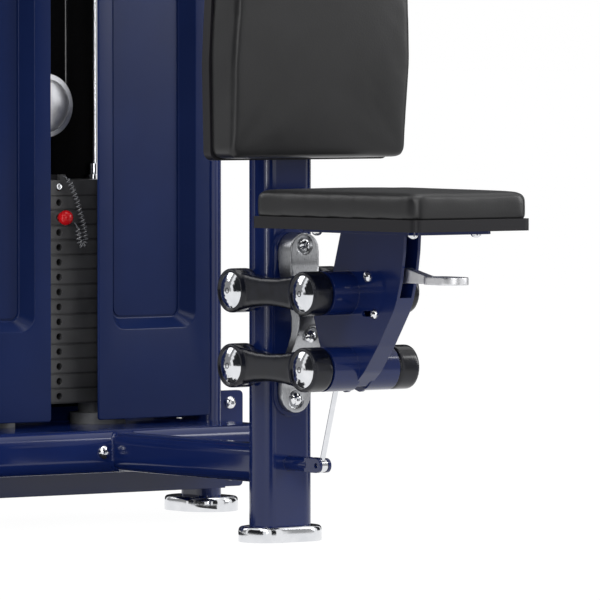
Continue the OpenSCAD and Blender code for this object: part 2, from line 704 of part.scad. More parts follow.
module arm() translate([pivot_x, -pivot_y, 0]) difference() {
  union() {
    translate([0, 0, hub_z]) cylinder(r = hub_r, h = hub_h);
    translate([0, 0, arm_z]) rotate([0, 90, 0]) cylinder(d = arm_d, h = arm_reach);
    translate([arm_reach, 0, hub_z]) cylinder(r = swivel_r, h = hub_h);
    translate([start_r, 0, arm_z - arm_d / 2 - 14]) cylinder(d = start_d + 16, h = 30);
  }
  translate([0, 0, hub_z - 1]) cylinder(d = arm_shaft_d + 2 * fit, h = hub_h + 2);
  translate([arm_reach, 0, hub_z - 1]) cylinder(d = swivel_d + 2 * fit, h = hub_h + 2);
  translate([start_r, 0, hub_z - 20]) cylinder(d = start_d + 2 * fit, h = hub_h + 40);
  translate([start_r + 25, 0, arm_z]) rotate([0, 90, 0])
    cylinder(d = arm_d - 2 * tube_wall, h = arm_reach - start_r - 25 - swivel_r);
}
module arm_left() color(navy) placed() arm();
module arm_right() color(navy) placed() mirrored() arm();
module start_pin() translate([pivot_x + start_r, -pivot_y, 0]) {
  translate([0, 0, arm_z - arm_d / 2 - 14 - start_draw - 30])
    cylinder(d = start_d, h = disc_z - gap - arm_z + arm_d / 2 + 14 + start_draw + 30);
  translate([0, 0, arm_z - arm_d / 2 - 14 - start_draw - 52]) cylinder(d = 30, h = 24);
}
module start_pin_left() color(black) placed() start_pin();
module start_pin_right() color(black) placed() mirrored() start_pin();
module handle() translate([pivot_x + arm_reach, -pivot_y, 0]) {
  translate([0, 0, grip_z]) cylinder(d = swivel_d, h = hub_z + hub_h + gap - grip_z);
  translate([0, 0, hub_z + hub_h + gap / 2]) cylinder(d = swivel_d + 16, h = 10);
  translate([0, 0, hub_z - 10 - gap / 2]) cylinder(d = swivel_d + 16, h = 10);
  translate([0, 0, grip_z]) sphere(d = bar_d);
  translate([-handle_in, 0, grip_z]) rotate([0, 90, 0]) cylinder(d = bar_d, h = handle_in);
  translate([-handle_in, 0, grip_z]) sphere(d = bar_d);
  translate([-handle_in, 0, grip_z - 2 * grip_end - grip_len])
    cylinder(d = bar_d, h = grip_len + 2 * grip_end);
  translate([-handle_in, 0, grip_z - 2 * grip_end - grip_len - 6]) cylinder(d = grip_d + 4, h = 8);
}
module handle_left() color(chrome) placed() handle();
module handle_right() color(chrome) placed() mirrored() handle();
module grip() translate([pivot_x + arm_reach - handle_in, -pivot_y, grip_z - grip_end - grip_len])
  difference() {
  cylinder(d = grip_d, h = grip_len - 6);
  translate([0, 0, -1]) cylinder(d = bar_d, h = grip_len + 2);
}
module grip_left() color(black) placed() grip();
module grip_right() color(black) placed() mirrored() grip();

// Seat linkage
module cap() rotate_extrude() polygon(concat([[0, 0], [cap_d / 2, 0]],
  [for (k = [0:5]) [cap_d / 2 * (1 - k / 6), 1 + (cap_h - 1) * (1 - pow(1 - k / 6, 2))]], [[0, cap_h]]));
module shaft(y, z) {
  translate([0, y, z]) rod_x_axis(shaft_d, 2 * (eye_x - eye_lip + clear));
  both() translate([eye_x - eye_lip + clear, y, z]) rotate([0, 90, 0]) cap();
}
module post_shafts() color(chrome) placed() for (z = [link_z, low_z]) shaft(pivot_post, z);
// An eye is a barrel along X whose rounded outer rim stands around the shaft's cap
module eye() rotate([0, 90, 0]) rotate_extrude() polygon(concat(
  [[0, -eye_t / 2], [eye_d / 2 - eye_edge, -eye_t / 2], [eye_d / 2, -eye_t / 2 + eye_edge]],
  [for (a = [0:15:90])
    [eye_d / 2 - eye_round + eye_round * cos(a), eye_t / 2 - eye_round + eye_round * sin(a)]],
  [[cap_d / 2 + clear, eye_t / 2], [cap_d / 2 + clear, eye_t / 2 - eye_lip], [0, eye_t / 2 - eye_lip]]));
function waist(t, inset) = [t * (link_len - eye_edge * 8) / 2, waist_d / 2 - inset + waist_flare * t * t];
module waist_bar(thick, inset) along_x(thick) polygon(concat(
  [for (t = [-1:0.125:1]) waist(t, inset)],
  [for (t = [1:-0.125:-1]) [waist(t, inset)[0], -waist(t, inset)[1]]]));
module link(z) translate([eye_in + eye_t / 2, 0, z]) difference() {
  union() {
    for (y = [pivot_post, pivot_seat]) translate([0, y, 0]) eye();
    translate([0, (pivot_post + pivot_seat) / 2, 0]) {
      waist_bar(waist_t, 0);
      waist_bar(waist_t + 2 * eye_edge, eye_edge);
    }
  }
  for (y = [pivot_post, pivot_seat]) translate([0, y, 0]) rod_x_axis(shaft_d + 2 * fit, 2 * eye_t);
}
module links_upper() color(black) placed() both() link(link_z);
module links_lower() color(black) placed() both() link(low_z);
module seat_shafts() color(chrome) placed() for (z = [link_z, low_z]) shaft(pivot_seat, z);
// A strap whose ends lie on the post's pad and whose middle bows forward
module post_casting() color(chrome) placed() difference() {
  intersection() {
    along_x(cast_w) polygon(concat(
      [for (k = [0:cast_n]) [cast_face(k / cast_n), cast_low + cast_h * k / cast_n]],
      [for (k = [cast_n:-1:0]) [cast_rear(k / cast_n), cast_low + cast_h * k / cast_n]]));
    translate([0, 0, cast_low + cast_h / 2]) along_y(2 * cast_face(0.5), -2 * cast_face(0.5))
      oval(cast_w, cast_h);
  }
  for (f = cast_bolt) translate([0, cast_face(f) + cast_sink, cast_low + cast_h * f]) rotate([90, 0, 0]) {
    cylinder(d = bolt_d, h = 4 * cast_head_t, center = true);
    cylinder(d = bolt_head_d + 2 * cast_sink, h = cast_head_t);
  }
}

// Seat bracket: two side plates, a curved front strip with a slot and two pivot sleeves
function br(y, z) = [pivot_seat + bracket_d * y, low_z + (cheek_top - low_z) * z];
cheek_pts = [br(0.087, 1), br(-0.973, 1), br(-0.96, 0.865), br(-0.913, 0.663), br(-0.827, 0.466),
  br(-0.54, 0.178), br(-0.307, -0.019), br(-0.127, -0.125), br(0, -0.178), br(0.207, -0.135),
  br(0.34, 0.01),   br(0.46, 0.188), br(0.553, 0.37), br(0.527, 0.442), br(0.273, 0.635), br(0.207, 0.736)];
cheek_r = [4, 4, 60, 60, 90, 90, 50, 20, 12, 14, 30, 40, 8, 8, 20, 20];
arc_n = 6;
cheek_edge = filleted(cheek_pts, cheek_r, arc_n);
strip_edge = [for (i = [4 * (arc_n + 1):8 * (arc_n + 1) - 1]) cheek_edge[i]];
module cheek() rotate([90, 0, 90]) linear_extrude(cheek_t) polygon(cheek_edge);
module seat_sleeve() difference() {
  sleeve(eye_d);
  rod_x_axis(2 * eye_d, cheek_gap);
}
module seat_bracket() color(navy) placed() difference() {
  union() {
    both() translate([cheek_x, 0, 0]) cheek();
    along_x(cheek_gap + 1) polygon(concat(strip_edge,
      [for (i = [len(strip_edge) - 1:-1:0]) strip_edge[i] + [strip_t, 0]]));
    for (z = [link_z, low_z]) translate([0, pivot_seat, z]) seat_sleeve();
  }
  for (z = [link_z, low_z]) translate([0, pivot_seat, z]) rod_x_axis(shaft_d, 4 * eye_x);
  translate([0, lever_y, lever_z]) rod_x_axis(lever_pin_d, 4 * cheek_gap);
  translate([0, stop_y + stop_slot / 2 - stop_d / 2, stop_z]) along_x(4 * cheek_gap)
    oval(stop_slot + 2 * clear, stop_d + 2 * clear);
}
seat_edge = [[-seat_back_w / 2, -seat_y], [seat_back_w / 2, -seat_y],
  [seat_front_w / 2, -seat_y - seat_d], [-seat_front_w / 2, -seat_y - seat_d]];
seat_r = [10, 10, 13, 13];
module offset_edge(inset) polygon(filleted([for (p = seat_edge)
  [p[0] - sign(p[0]) * inset, p[1] + (p[1] == -seat_y ? -inset : inset)]], seat_r));
plate_half = 76;
plate_back = -(seat_y + 34);
plate_front = -(seat_y + seat_d - 49);
seat_bolt_d = 8;
seat_bolt_head = 16;
seat_bolt_h = 6;
seat_bolt_in = 22;
seat_bolt_deep = 10;
seat_bolt_x = plate_half - 16.5;
seat_bolt_y = [plate_back - seat_bolt_in, plate_front + seat_bolt_in];
seat_rim = 5;
seat_round = 14;
module seat_plate() color(navy) placed() difference() {
  translate([0, (plate_back + plate_front) / 2, cheek_top]) linear_extrude(plate_under)
    rounded(2 * plate_half, plate_back - plate_front, 12);
  both() for (y = seat_bolt_y) translate([seat_bolt_x, y, cheek_top - 1])
    cylinder(d = seat_bolt_d, h = plate_under + 2);
}
module cross_pin(y, z, d) translate([0, y, z]) {
  rod_x_axis(d, cheek_gap + 2 * cheek_t);
  both() translate([cheek_x + cheek_t, 0, 0]) rotate([0, 90, 0]) bolt(d - 2, d + 8, seat_bolt_h, 1);
}
module seat_bolts() color(chrome) placed() {
  both() for (y = seat_bolt_y) translate([seat_bolt_x, y, cheek_top]) rotate([180, 0, 0])
    bolt(seat_bolt_d, seat_bolt_head, seat_bolt_h, plate_under + seat_bolt_deep);
  cross_pin(lever_y, lever_z, lever_pin_d);
  cross_pin(stop_y, stop_z, stop_d);
  translate([0, gas_top_y, gas_top_z]) rod_x_axis(gas_pin_d, cheek_gap);
}
module seat_board() color(black) placed() translate([0, 0, seat_z]) difference() {
  linear_extrude(board_t) offset_edge(0);
  both() for (y = seat_bolt_y) translate([seat_bolt_x, y, -1])
    cylinder(d = seat_bolt_d, h = seat_bolt_deep + 1);
}
module seat_pad() color(black) placed() translate([0, 0, seat_z + board_t]) {
  linear_extrude(seat_pad_t - seat_round) offset_edge(seat_rim);
  translate([0, 0, seat_pad_t - seat_round]) linear_extrude(seat_round)
    offset_edge(seat_rim + seat_round * 0.7);
}
// The lever's arm tapers forward into a flat finger loop
module seat_lever() color(chrome) placed() translate([0, 0, lever_z]) difference() {
  union() {
    translate([0, lever_y, 0]) rod_x_axis(lever_hub_d, cheek_gap - 2);
    along_x(lever_w) polygon([[lever_y, lever_hub_d / 2], [lever_y - lever_bend, lever_rise],
      [loop_y + loop_len / 2 - 4, lever_t - lever_low], [loop_y + loop_len / 2 - 4, -lever_low],
      [lever_y - lever_bend, -lever_low], [lever_y, -lever_hub_d / 2]]);
    translate([0, loop_y, -lever_low]) linear_extrude(lever_t) oval(loop_w, loop_len);
  }
  translate([0, lever_y, 0]) rod_x_axis(lever_pin_d + 2 * fit, 2 * cheek_gap);
  translate([0, loop_y, -4 * lever_t]) linear_extrude(8 * lever_t)
    oval(loop_w - 2 * loop_bar, loop_len - 2 * loop_bar);
}
module gas_axis() translate([0, gas_y, gas_z]) rotate([gas_tilt, 0, 0]) children();
module gas_rod() color(chrome) placed() gas_axis() difference() {
  union() {
    rod_x_axis(2 * ear_r - 2, boss_gap - 1);
    cylinder(d = gas_rod_d, h = gas_rod_len);
  }
  rod_x_axis(gas_pin_d, 2 * boss_gap);
}
module gas_cylinder() color(black) placed() gas_axis() difference() {
  union() {
    translate([0, 0, gas_run - gas_len]) cylinder(d = gas_d, h = gas_len - gas_eye_d / 2);
    translate([0, 0, gas_run]) rod_x_axis(gas_eye_out, gas_eye_w);
  }
  translate([0, 0, gas_run - gas_len - 1]) cylinder(d = gas_rod_d + 2 * fit, h = 20);
  translate([0, 0, gas_run - gas_len + 12]) cylinder(d = gas_d - 2 * tube_wall, h = gas_len - 30);
  translate([0, 0, gas_run]) rod_x_axis(gas_eye_d, 3 * gas_eye_w);
}

// Back pad on its board and plate
pad_edge = [[-pad_half + 3, 0], [pad_half - 3, 0], [pad_half, pad_wide_z], [pad_half - 8, pad_turn_z],
  [pad_half - 52, pad_h], [-pad_half + 52, pad_h], [-pad_half + 8, pad_turn_z], [-pad_half, pad_wide_z]];
pad_r = [14, 14, 300, 300, 80, 80, 300, 300];
module pad_outline(inset) translate([0, pad_z]) polygon(filleted([for (p = pad_edge)
  [p[0] - sign(p[0]) * inset, p[1] == 0 ? inset : p[1] == pad_h ? pad_h - inset : p[1]]], pad_r));
module pad_plate() color(navy) placed() translate([0, 0, pad_z + pad_h / 2])
  along_y(pad_back, pad_plate_t) rounded(pad_plate_w, pad_plate_h, 12);
module back_board() color(black) placed() along_y(pad_back - board_t, board_t) pad_outline(0);
// The pad is thinner towards its lower and upper ends
module back_pad() color(black) placed() intersection() {
  union() {
    along_y(pad_front + pad_edge_r, pad_t - pad_edge_r) pad_outline(pad_rim);
    along_y(pad_front, pad_edge_r + 1) pad_outline(pad_rim + pad_edge_r);
  }
  along_x(4 * pad_half) polygon([[pad_back, pad_z - 1], [pad_back, pad_z + pad_h + 1],
    [pad_front + pad_edge_r, pad_z + pad_h + 1], [pad_front + 4, pad_z + pad_h - pad_wide_z],
    [pad_front, pad_z + pad_turn_z],
    [pad_front + 4, pad_z + pad_wide_z], [pad_front + pad_edge_r, pad_z - 1]]);
}

post_tube();
feet();
spine_tube();
base_beam();
frame_bolts();
tower_tray();
uprights();
shroud_left();
shroud_right();
shroud_clips();
rear_cover();
clamp_bar();
guide_rods();
stack_bumpers();
stack_plates();
head_plate();
lifted_plates();
selector_stem();
rod_bushes();
selector_pin();
pin_knob();
lanyard_cord();
pulley_hanger();
floating_pulley();
pulley_cover();
drop_brackets();
drop_pulley_left();
drop_pulley_right();
corner_pulley_left();
corner_pulley_right();
lift_cable();
booms();
cross_beams();
arm_bushes();
cam_left();
cam_right();
arm_left();
arm_right();
start_pin_left();
start_pin_right();
handle_left();
handle_right();
grip_left();
grip_right();
post_shafts();
post_casting();
links_upper();
links_lower();
seat_shafts();
seat_bracket();
seat_plate();
seat_bolts();
seat_board();
seat_pad();
seat_lever();
gas_rod();
gas_cylinder();
pad_plate();
back_board();
back_pad();
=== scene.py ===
import json
import math

import bmesh
import bpy
from mathutils import Matrix, Vector


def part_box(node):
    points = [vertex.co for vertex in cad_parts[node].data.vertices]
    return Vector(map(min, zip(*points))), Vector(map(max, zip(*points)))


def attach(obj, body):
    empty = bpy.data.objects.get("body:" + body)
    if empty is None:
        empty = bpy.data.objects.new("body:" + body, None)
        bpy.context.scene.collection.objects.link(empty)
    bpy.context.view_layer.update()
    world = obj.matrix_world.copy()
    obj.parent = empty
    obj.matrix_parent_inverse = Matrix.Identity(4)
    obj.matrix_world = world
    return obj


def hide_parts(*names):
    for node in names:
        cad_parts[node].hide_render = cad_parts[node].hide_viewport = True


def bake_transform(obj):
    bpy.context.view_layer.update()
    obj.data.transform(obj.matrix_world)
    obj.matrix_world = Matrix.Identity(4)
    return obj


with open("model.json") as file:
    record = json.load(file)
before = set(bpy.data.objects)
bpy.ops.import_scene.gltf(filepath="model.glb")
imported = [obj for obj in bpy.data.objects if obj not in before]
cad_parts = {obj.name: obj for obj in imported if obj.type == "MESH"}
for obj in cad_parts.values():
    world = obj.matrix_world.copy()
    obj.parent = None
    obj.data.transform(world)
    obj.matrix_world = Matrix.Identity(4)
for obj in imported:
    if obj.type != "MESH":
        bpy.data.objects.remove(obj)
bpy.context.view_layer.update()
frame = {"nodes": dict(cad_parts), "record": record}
scene = bpy.context.scene
scene.view_settings.view_transform = "Standard"
midY = 119.15  # the frame's origin, behind the post's axis, in mm


def spot(x, y, z):  # mm, with y from the post's axis, to the frame's metres
    return Vector((x / 1000, (y - midY) / 1000, z / 1000))


# Camera: far away and slightly above the seat, as the photograph's flat perspective asks
shot = {"away": 10.6154, "height": 0.7634, "yaw": -36.2, "lens": 414,
        "right": 19.95, "down": 255, "focal": 6900}
camera = bpy.data.objects.new("camera", bpy.data.cameras.new("camera"))
scene.collection.objects.link(camera)
yaw = math.radians(shot["yaw"])
camera.location = spot(0, 0, 0) - shot["away"] * Vector((-math.sin(yaw), math.cos(yaw), 0))
camera.location.z = shot["height"]
camera.rotation_euler = (
    math.pi / 2 - math.atan(shot["down"] / shot["focal"]), 0, yaw - math.atan(shot["right"] / shot["focal"]))
camera.data.sensor_width = 36
camera.data.lens = shot["lens"]
camera.data.clip_end = 200
scene.camera = camera
print("camera set")


# Colours and nodes
def linear(text):
    parts = [int(text[i:i + 2], 16) / 255 for i in (1, 3, 5)]
    return [p / 12.92 if p <= 0.04045 else ((p + 0.055) / 1.055) ** 2.4 for p in parts] + [1]


def perMm(size):  # texture scale that repeats about once in this many mm
    return 1000 / size


def addNode(tree, kind, settings=None, links=None):
    node = tree.nodes.new(kind)
    for name, value in (settings or {}).items():
        if isinstance(name, str) and hasattr(node, name):
            setattr(node, name, value)
        else:
            node.inputs[name].default_value = value
    for name, socket in (links or {}).items():
        tree.links.new(socket, node.inputs[name])
    return node


def startMaterial(name, sockets):
    made = bpy.data.materials.new(name)
    made.use_nodes = True
    tree = made.node_tree
    shader = tree.nodes["Principled BSDF"]
    for key, value in sockets.items():
        shader.inputs[key].default_value = value
    place = addNode(tree, "ShaderNodeTexCoord").outputs["Object"]
    return made, tree, shader, place


# Patches vary the colour and the gloss, and height gives the relief.
# In a look, rough is a range, bump is a depth in mm and a strength, and edge is a radius in mm.
def applyFinish(tree, shader, look, patches, height):
    spread = (0.3, 0.7)
    ramp = addNode(tree, "ShaderNodeValToRGB", None, {"Fac": patches})
    for stop, text, where in zip(ramp.color_ramp.elements, (look["low"], look["high"]), spread):
        stop.color = linear(text)
        stop.position = where
    smooth, dull = look["rough"]
    gloss = addNode(tree, "ShaderNodeMapRange", {"To Min": smooth, "To Max": dull}, {"Value": patches})
    deep, strength = look["bump"]
    links = {"Height": height}
    if "edge" in look:
        soft = addNode(tree, "ShaderNodeBevel", {"samples": 4, "Radius": look["edge"] / 1000})
        links["Normal"] = soft.outputs["Normal"]
    bump = addNode(tree, "ShaderNodeBump", {"Strength": strength, "Distance": deep / 1000}, links)
    tree.links.new(ramp.outputs["Color"], shader.inputs["Base Color"])
    tree.links.new(gloss.outputs["Result"], shader.inputs["Roughness"])
    tree.links.new(bump.outputs["Normal"], shader.inputs["Normal"])


# Powder-coated steel: a deep gloss with a faint orange peel, so tubes show long soft streaks
def makeNavyEnamel():
    look = {"low": "#13245a", "high": "#172a64", "peel": 2.2, "cloud": 160, "edge": 1.2,
            "rough": (0.09, 0.16), "bump": (0.05, 0.2)}
    made, tree, shader, place = startMaterial("navyPowderCoat", {
        "IOR": 1.5, "Specular IOR Level": 0.4, "Coat Weight": 0.15, "Coat Roughness": 0.06})
    cloud = addNode(tree, "ShaderNodeTexNoise", {"Scale": perMm(look["cloud"]), "Detail": 3},
                    {"Vector": place})
    peel = addNode(tree, "ShaderNodeTexNoise", {"Scale": perMm(look["peel"]), "Detail": 1}, {"Vector": place})
    applyFinish(tree, shader, look, cloud.outputs["Fac"], peel.outputs["Fac"])
    return made


# Vacuum-formed ABS: an even satin with a fine grain pressed in by the mould
def makeNavyShroud():
    look = {"low": "#14234d", "high": "#182959", "grain": 1.4, "cloud": 240,
            "rough": (0.2, 0.3), "bump": (0.05, 0.12)}
    made, tree, shader, place = startMaterial("navyAbs", {"IOR": 1.5, "Specular IOR Level": 0.15})
    cloud = addNode(tree, "ShaderNodeTexNoise", {"Scale": perMm(look["cloud"]), "Detail": 4},
                    {"Vector": place})
    grain = addNode(tree, "ShaderNodeTexVoronoi", {"Scale": perMm(look["grain"])}, {"Vector": place})
    applyFinish(tree, shader, look, cloud.outputs["Fac"], grain.outputs["Distance"])
    return made


# Nickel-chrome plate: a mirror with a faint haze from polishing, which blurs it slightly
def makeChrome():
    look = {"low": "#d6d8dc", "high": "#e6e7ea", "haze": 30, "edge": 0.8,
            "rough": (0.05, 0.14), "bump": (0.02, 0.1)}
    made, tree, shader, place = startMaterial("chromePlate", {"Metallic": 1})
    haze = addNode(tree, "ShaderNodeTexNoise", {"Scale": perMm(look["haze"]), "Detail": 5}, {"Vector": place})
    applyFinish(tree, shader, look, haze.outputs["Fac"], haze.outputs["Fac"])
    return made


# Painted steel plate: grey semi-gloss paint over a sawn face, with rubbed darker patches
def makePlatePaint():
    look = {"low": "#303031", "high": "#3e3e3f", "speckle": 0.9, "rub": 45, "edge": 0.8,
            "rough": (0.35, 0.55), "bump": (0.08, 0.3)}
    made, tree, shader, place = startMaterial("greyPlatePaint", {"IOR": 1.5})
    rub = addNode(tree, "ShaderNodeTexNoise", {"Scale": perMm(look["rub"]), "Detail": 6}, {"Vector": place})
    speckle = addNode(tree, "ShaderNodeTexNoise", {"Scale": perMm(look["speckle"]), "Detail": 2},
                      {"Vector": place})
    applyFinish(tree, shader, look, rub.outputs["Fac"], speckle.outputs["Fac"])
    return made


# Upholstery vinyl: a pebbled grain in a soft-sheen coat, duller in patches
# (the grain is drawn at 2.6 mm, twice the real one, so that it shows)
def makeVinyl():
    look = {"low": "#1c1c1d", "high": "#252526", "pebble": 2.6, "pore": 0.8, "crease": 90,
            "rough": (0.32, 0.4), "bump": (0.22, 0.35)}
    made, tree, shader, place = startMaterial("blackVinyl", {
        "IOR": 1.5, "Specular IOR Level": 0.45, "Sheen Weight": 0.05, "Sheen Roughness": 0.4})
    pebble = addNode(tree, "ShaderNodeTexVoronoi", {"feature": "SMOOTH_F1", "Scale": perMm(look["pebble"])},
                     {"Vector": place})
    pore = addNode(tree, "ShaderNodeTexNoise", {"Scale": perMm(look["pore"]), "Detail": 2}, {"Vector": place})
    crease = addNode(tree, "ShaderNodeTexNoise", {"Scale": perMm(look["crease"]), "Detail": 4},
                     {"Vector": place})
    both = addNode(tree, "ShaderNodeMath", {"operation": "MULTIPLY_ADD", 1: 0.3},
                   {0: pore.outputs["Fac"], 2: pebble.outputs["Distance"]})
    applyFinish(tree, shader, look, crease.outputs["Fac"], both.outputs["Value"])
    return made


# Moulded ABS board: dull black with a fine spark-eroded texture
def makeBoard():
    look = {"low": "#161519", "high": "#1d1c20", "grain": 1.1, "edge": 1.5,
            "rough": (0.4, 0.52), "bump": (0.08, 0.3)}
    made, tree, shader, place = startMaterial("blackAbsBoard", {"IOR": 1.53, "Specular IOR Level": 0.3})
    grain = addNode(tree, "ShaderNodeTexNoise", {"Scale": perMm(look["grain"]), "Detail": 2},
                    {"Vector": place})
    applyFinish(tree, shader, look, grain.outputs["Fac"], grain.outputs["Fac"])
    return made


# Stove enamel on cast iron: nearly black and wet-looking, over a slightly uneven casting
def makeBlackGloss():
    look = {"low": "#0d0f18", "high": "#151824", "swell": 18, "edge": 4,
            "rough": (0.14, 0.26), "bump": (0.15, 0.2)}
    made, tree, shader, place = startMaterial("blackStoveEnamel", {
        "IOR": 1.5, "Specular IOR Level": 0.35, "Coat Weight": 0.1, "Coat Roughness": 0.04})
    swell = addNode(tree, "ShaderNodeTexNoise", {"Scale": perMm(look["swell"]), "Detail": 2},
                    {"Vector": place})
    applyFinish(tree, shader, look, swell.outputs["Fac"], swell.outputs["Fac"])
    return made


# Black zinc paint on pressed steel: dull, with a sandy film
def makeBlackPaint():
    look = {"low": "#17171a", "high": "#212124", "grit": 1.2, "edge": 0.8,
            "rough": (0.42, 0.6), "bump": (0.08, 0.35)}
    made, tree, shader, place = startMaterial("blackSteelPaint", {"IOR": 1.5})
    grit = addNode(tree, "ShaderNodeTexNoise", {"Scale": perMm(look["grit"]), "Detail": 2}, {"Vector": place})
    applyFinish(tree, shader, look, grit.outputs["Fac"], grit.outputs["Fac"])
    return made


# Turned nylon: a waxy dark grey, slightly uneven from the lathe
def makeNylon():
    look = {"low": "#2f3033", "high": "#3a3b3f", "grain": 1.6, "edge": 0.6,
            "rough": (0.34, 0.48), "bump": (0.06, 0.25)}
    made, tree, shader, place = startMaterial("turnedNylon", {"IOR": 1.53, "Subsurface Weight": 0.02})
    grain = addNode(tree, "ShaderNodeTexNoise", {"Scale": perMm(look["grain"]), "Detail": 1},
                    {"Vector": place})
    applyFinish(tree, shader, look, grain.outputs["Fac"], grain.outputs["Fac"])
    return made


# Spun aluminium, polished: a soft mirror that smears light across the dome
def makePolishedAlu():
    look = {"low": "#dcdde0", "high": "#ececee", "smear": 12, "edge": 0.8,
            "rough": (0.36, 0.46), "bump": (0.03, 0.15)}
    made, tree, shader, place = startMaterial("polishedAluminium", {"Metallic": 1})
    smear = addNode(tree, "ShaderNodeTexNoise", {"Scale": perMm(look["smear"]), "Detail": 4},
                    {"Vector": place})
    applyFinish(tree, shader, look, smear.outputs["Fac"], smear.outputs["Fac"])
    return made


# Cast and linished aluminium: a bright grey metal with a fine directional grain
def makeCastSilver():
    look = {"low": "#9c9ea1", "high": "#b6b7ba", "grain": 0.9, "stretch": 0.12, "edge": 1.2,
            "rough": (0.22, 0.38), "bump": (0.05, 0.2)}
    made, tree, shader, place = startMaterial("linishedCasting", {"Metallic": 1})
    pull = addNode(tree, "ShaderNodeMapping", {"Scale": (1, 1, look["stretch"])}, {"Vector": place})
    grain = addNode(tree, "ShaderNodeTexNoise", {"Scale": perMm(look["grain"]), "Detail": 3},
                    {"Vector": pull.outputs["Vector"]})
    applyFinish(tree, shader, look, grain.outputs["Fac"], grain.outputs["Fac"])
    return made


# Sintered bronze: warm, slightly porous and oily
def makeBronze():
    look = {"low": "#8a6a35", "high": "#a8854a", "pore": 1.0, "edge": 0.6,
            "rough": (0.32, 0.5), "bump": (0.06, 0.3)}
    made, tree, shader, place = startMaterial("sinteredBronze", {"Metallic": 1})
    pore = addNode(tree, "ShaderNodeTexNoise", {"Scale": perMm(look["pore"]), "Detail": 3}, {"Vector": place})
    applyFinish(tree, shader, look, pore.outputs["Fac"], pore.outputs["Fac"])
    return made


# Moulded rubber: dry and chalky grey, with a dusty bloom
def makeBumperRubber():
    look = {"low": "#6f7071", "high": "#858687", "bloom": 25, "grain": 1.2, "edge": 1.0,
            "rough": (0.6, 0.8), "bump": (0.08, 0.35)}
    made, tree, shader, place = startMaterial("greyRubber", {"IOR": 1.52})
    bloom = addNode(tree, "ShaderNodeTexNoise", {"Scale": perMm(look["bloom"]), "Detail": 5},
                    {"Vector": place})
    grain = addNode(tree, "ShaderNodeTexNoise", {"Scale": perMm(look["grain"]), "Detail": 2},
                    {"Vector": place})
    applyFinish(tree, shader, look, bloom.outputs["Fac"], grain.outputs["Fac"])
    return made


# Nitrile grip: matt black, a little shinier where hands rub it
def makeGripRubber():
    look = {"low": "#1a1a1b", "high": "#242425", "rub": 40, "grain": 1.0,
            "rough": (0.5, 0.75), "bump": (0.08, 0.35)}
    made, tree, shader, place = startMaterial("nitrileGrip", {"IOR": 1.52})
    rub = addNode(tree, "ShaderNodeTexNoise", {"Scale": perMm(look["rub"]), "Detail": 4}, {"Vector": place})
    grain = addNode(tree, "ShaderNodeTexNoise", {"Scale": perMm(look["grain"]), "Detail": 2},
                    {"Vector": place})
    applyFinish(tree, shader, look, rub.outputs["Fac"], grain.outputs["Fac"])
    return made


# Phenolic ball: a hard red gloss with faint flow marks
def makeKnobRed():
    look = {"low": "#9a040c", "high": "#b00912", "flow": 14, "rough": (0.16, 0.28), "bump": (0.03, 0.2)}
    made, tree, shader, place = startMaterial("redPhenolic", {"IOR": 1.55, "Specular IOR Level": 0.2})
    flow = addNode(tree, "ShaderNodeTexNoise", {"Scale": perMm(look["flow"]), "Detail": 3}, {"Vector": place})
    applyFinish(tree, shader, look, flow.outputs["Fac"], flow.outputs["Fac"])
    return made


# Extruded nylon sheath: slick, and slightly uneven over the wire strands, so its highlights break up
def makeCableCoat(name, low, high):
    look = {"low": low, "high": high, "strand": 1.2, "rough": (0.12, 0.26), "bump": (0.05, 0.2)}
    made, tree, shader, place = startMaterial(name, {"IOR": 1.53, "Coat Weight": 1, "Coat Roughness": 0.05})
    strand = addNode(tree, "ShaderNodeTexNoise", {"Scale": perMm(look["strand"]), "Detail": 2},
                     {"Vector": place})
    applyFinish(tree, shader, look, strand.outputs["Fac"], strand.outputs["Fac"])
    return made


# Needled felt: fluffy, light-swallowing and nearly black; its black is painted shade for the inside of the
# tower
def makeShadeFelt():
    look = {"low": "#050506", "high": "#0c0c0e", "tuft": 3, "rough": (0.9, 1), "bump": (0.4, 0.5)}
    made, tree, shader, place = startMaterial("needledShadeFelt", {"IOR": 1.45, "Specular IOR Level": 0.1})
    tuft = addNode(tree, "ShaderNodeTexNoise", {"Scale": perMm(look["tuft"]), "Detail": 6}, {"Vector": place})
    applyFinish(tree, shader, look, tuft.outputs["Fac"], tuft.outputs["Fac"])
    return made


# the felt's near-black colour is painted shade for the dark inside of the tower
felt = makeShadeFelt()
jacket = makeCableCoat("blackNylonJacket", "#0c0c0d", "#151517")
finish = {
    "navy_enamel": makeNavyEnamel(), "navy_shroud": makeNavyShroud(), "chrome_plate": makeChrome(),
    "plate_paint": makePlatePaint(), "black_vinyl": makeVinyl(), "black_board": makeBoard(),
    "black_gloss": makeBlackGloss(), "black_paint": makeBlackPaint(), "pulley_nylon": makeNylon(),
    "polished_alu": makePolishedAlu(), "cast_silver": makeCastSilver(), "bronze_bush": makeBronze(),
    "bumper_grey": makeBumperRubber(), "grip_rubber": makeGripRubber(), "knob_red": makeKnobRed(),
    # the lanyard's sheath is grey, lighter than the black lift cable: painted highlight for the coil's bright
    # turns
    "cable_coat": makeCableCoat("nylonSheathPaintedHighlight", "#4a4b4e", "#606165")}
for part in frame["record"]["subparts"]:
    slots = frame["nodes"][part["node"]].data.materials
    slots.clear()
    slots.append(finish[part["material_slot"]])
print("finishes on", len(frame["nodes"]), "nodes")


# Pieces
def addPiece(name, mesh, slot, body, replaced=(), smooth=35, coat=None):
    made = bpy.data.objects.new(name, mesh)
    scene.collection.objects.link(made)
    mesh.materials.clear()
    mesh.materials.append(coat or finish[slot])
    mesh.polygons.foreach_set("use_smooth", [True] * len(mesh.polygons))
    mesh.set_sharp_from_angle(angle=math.radians(smooth))
    if body:
        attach(made, body)
    if replaced:
        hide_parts(*replaced)
    return made


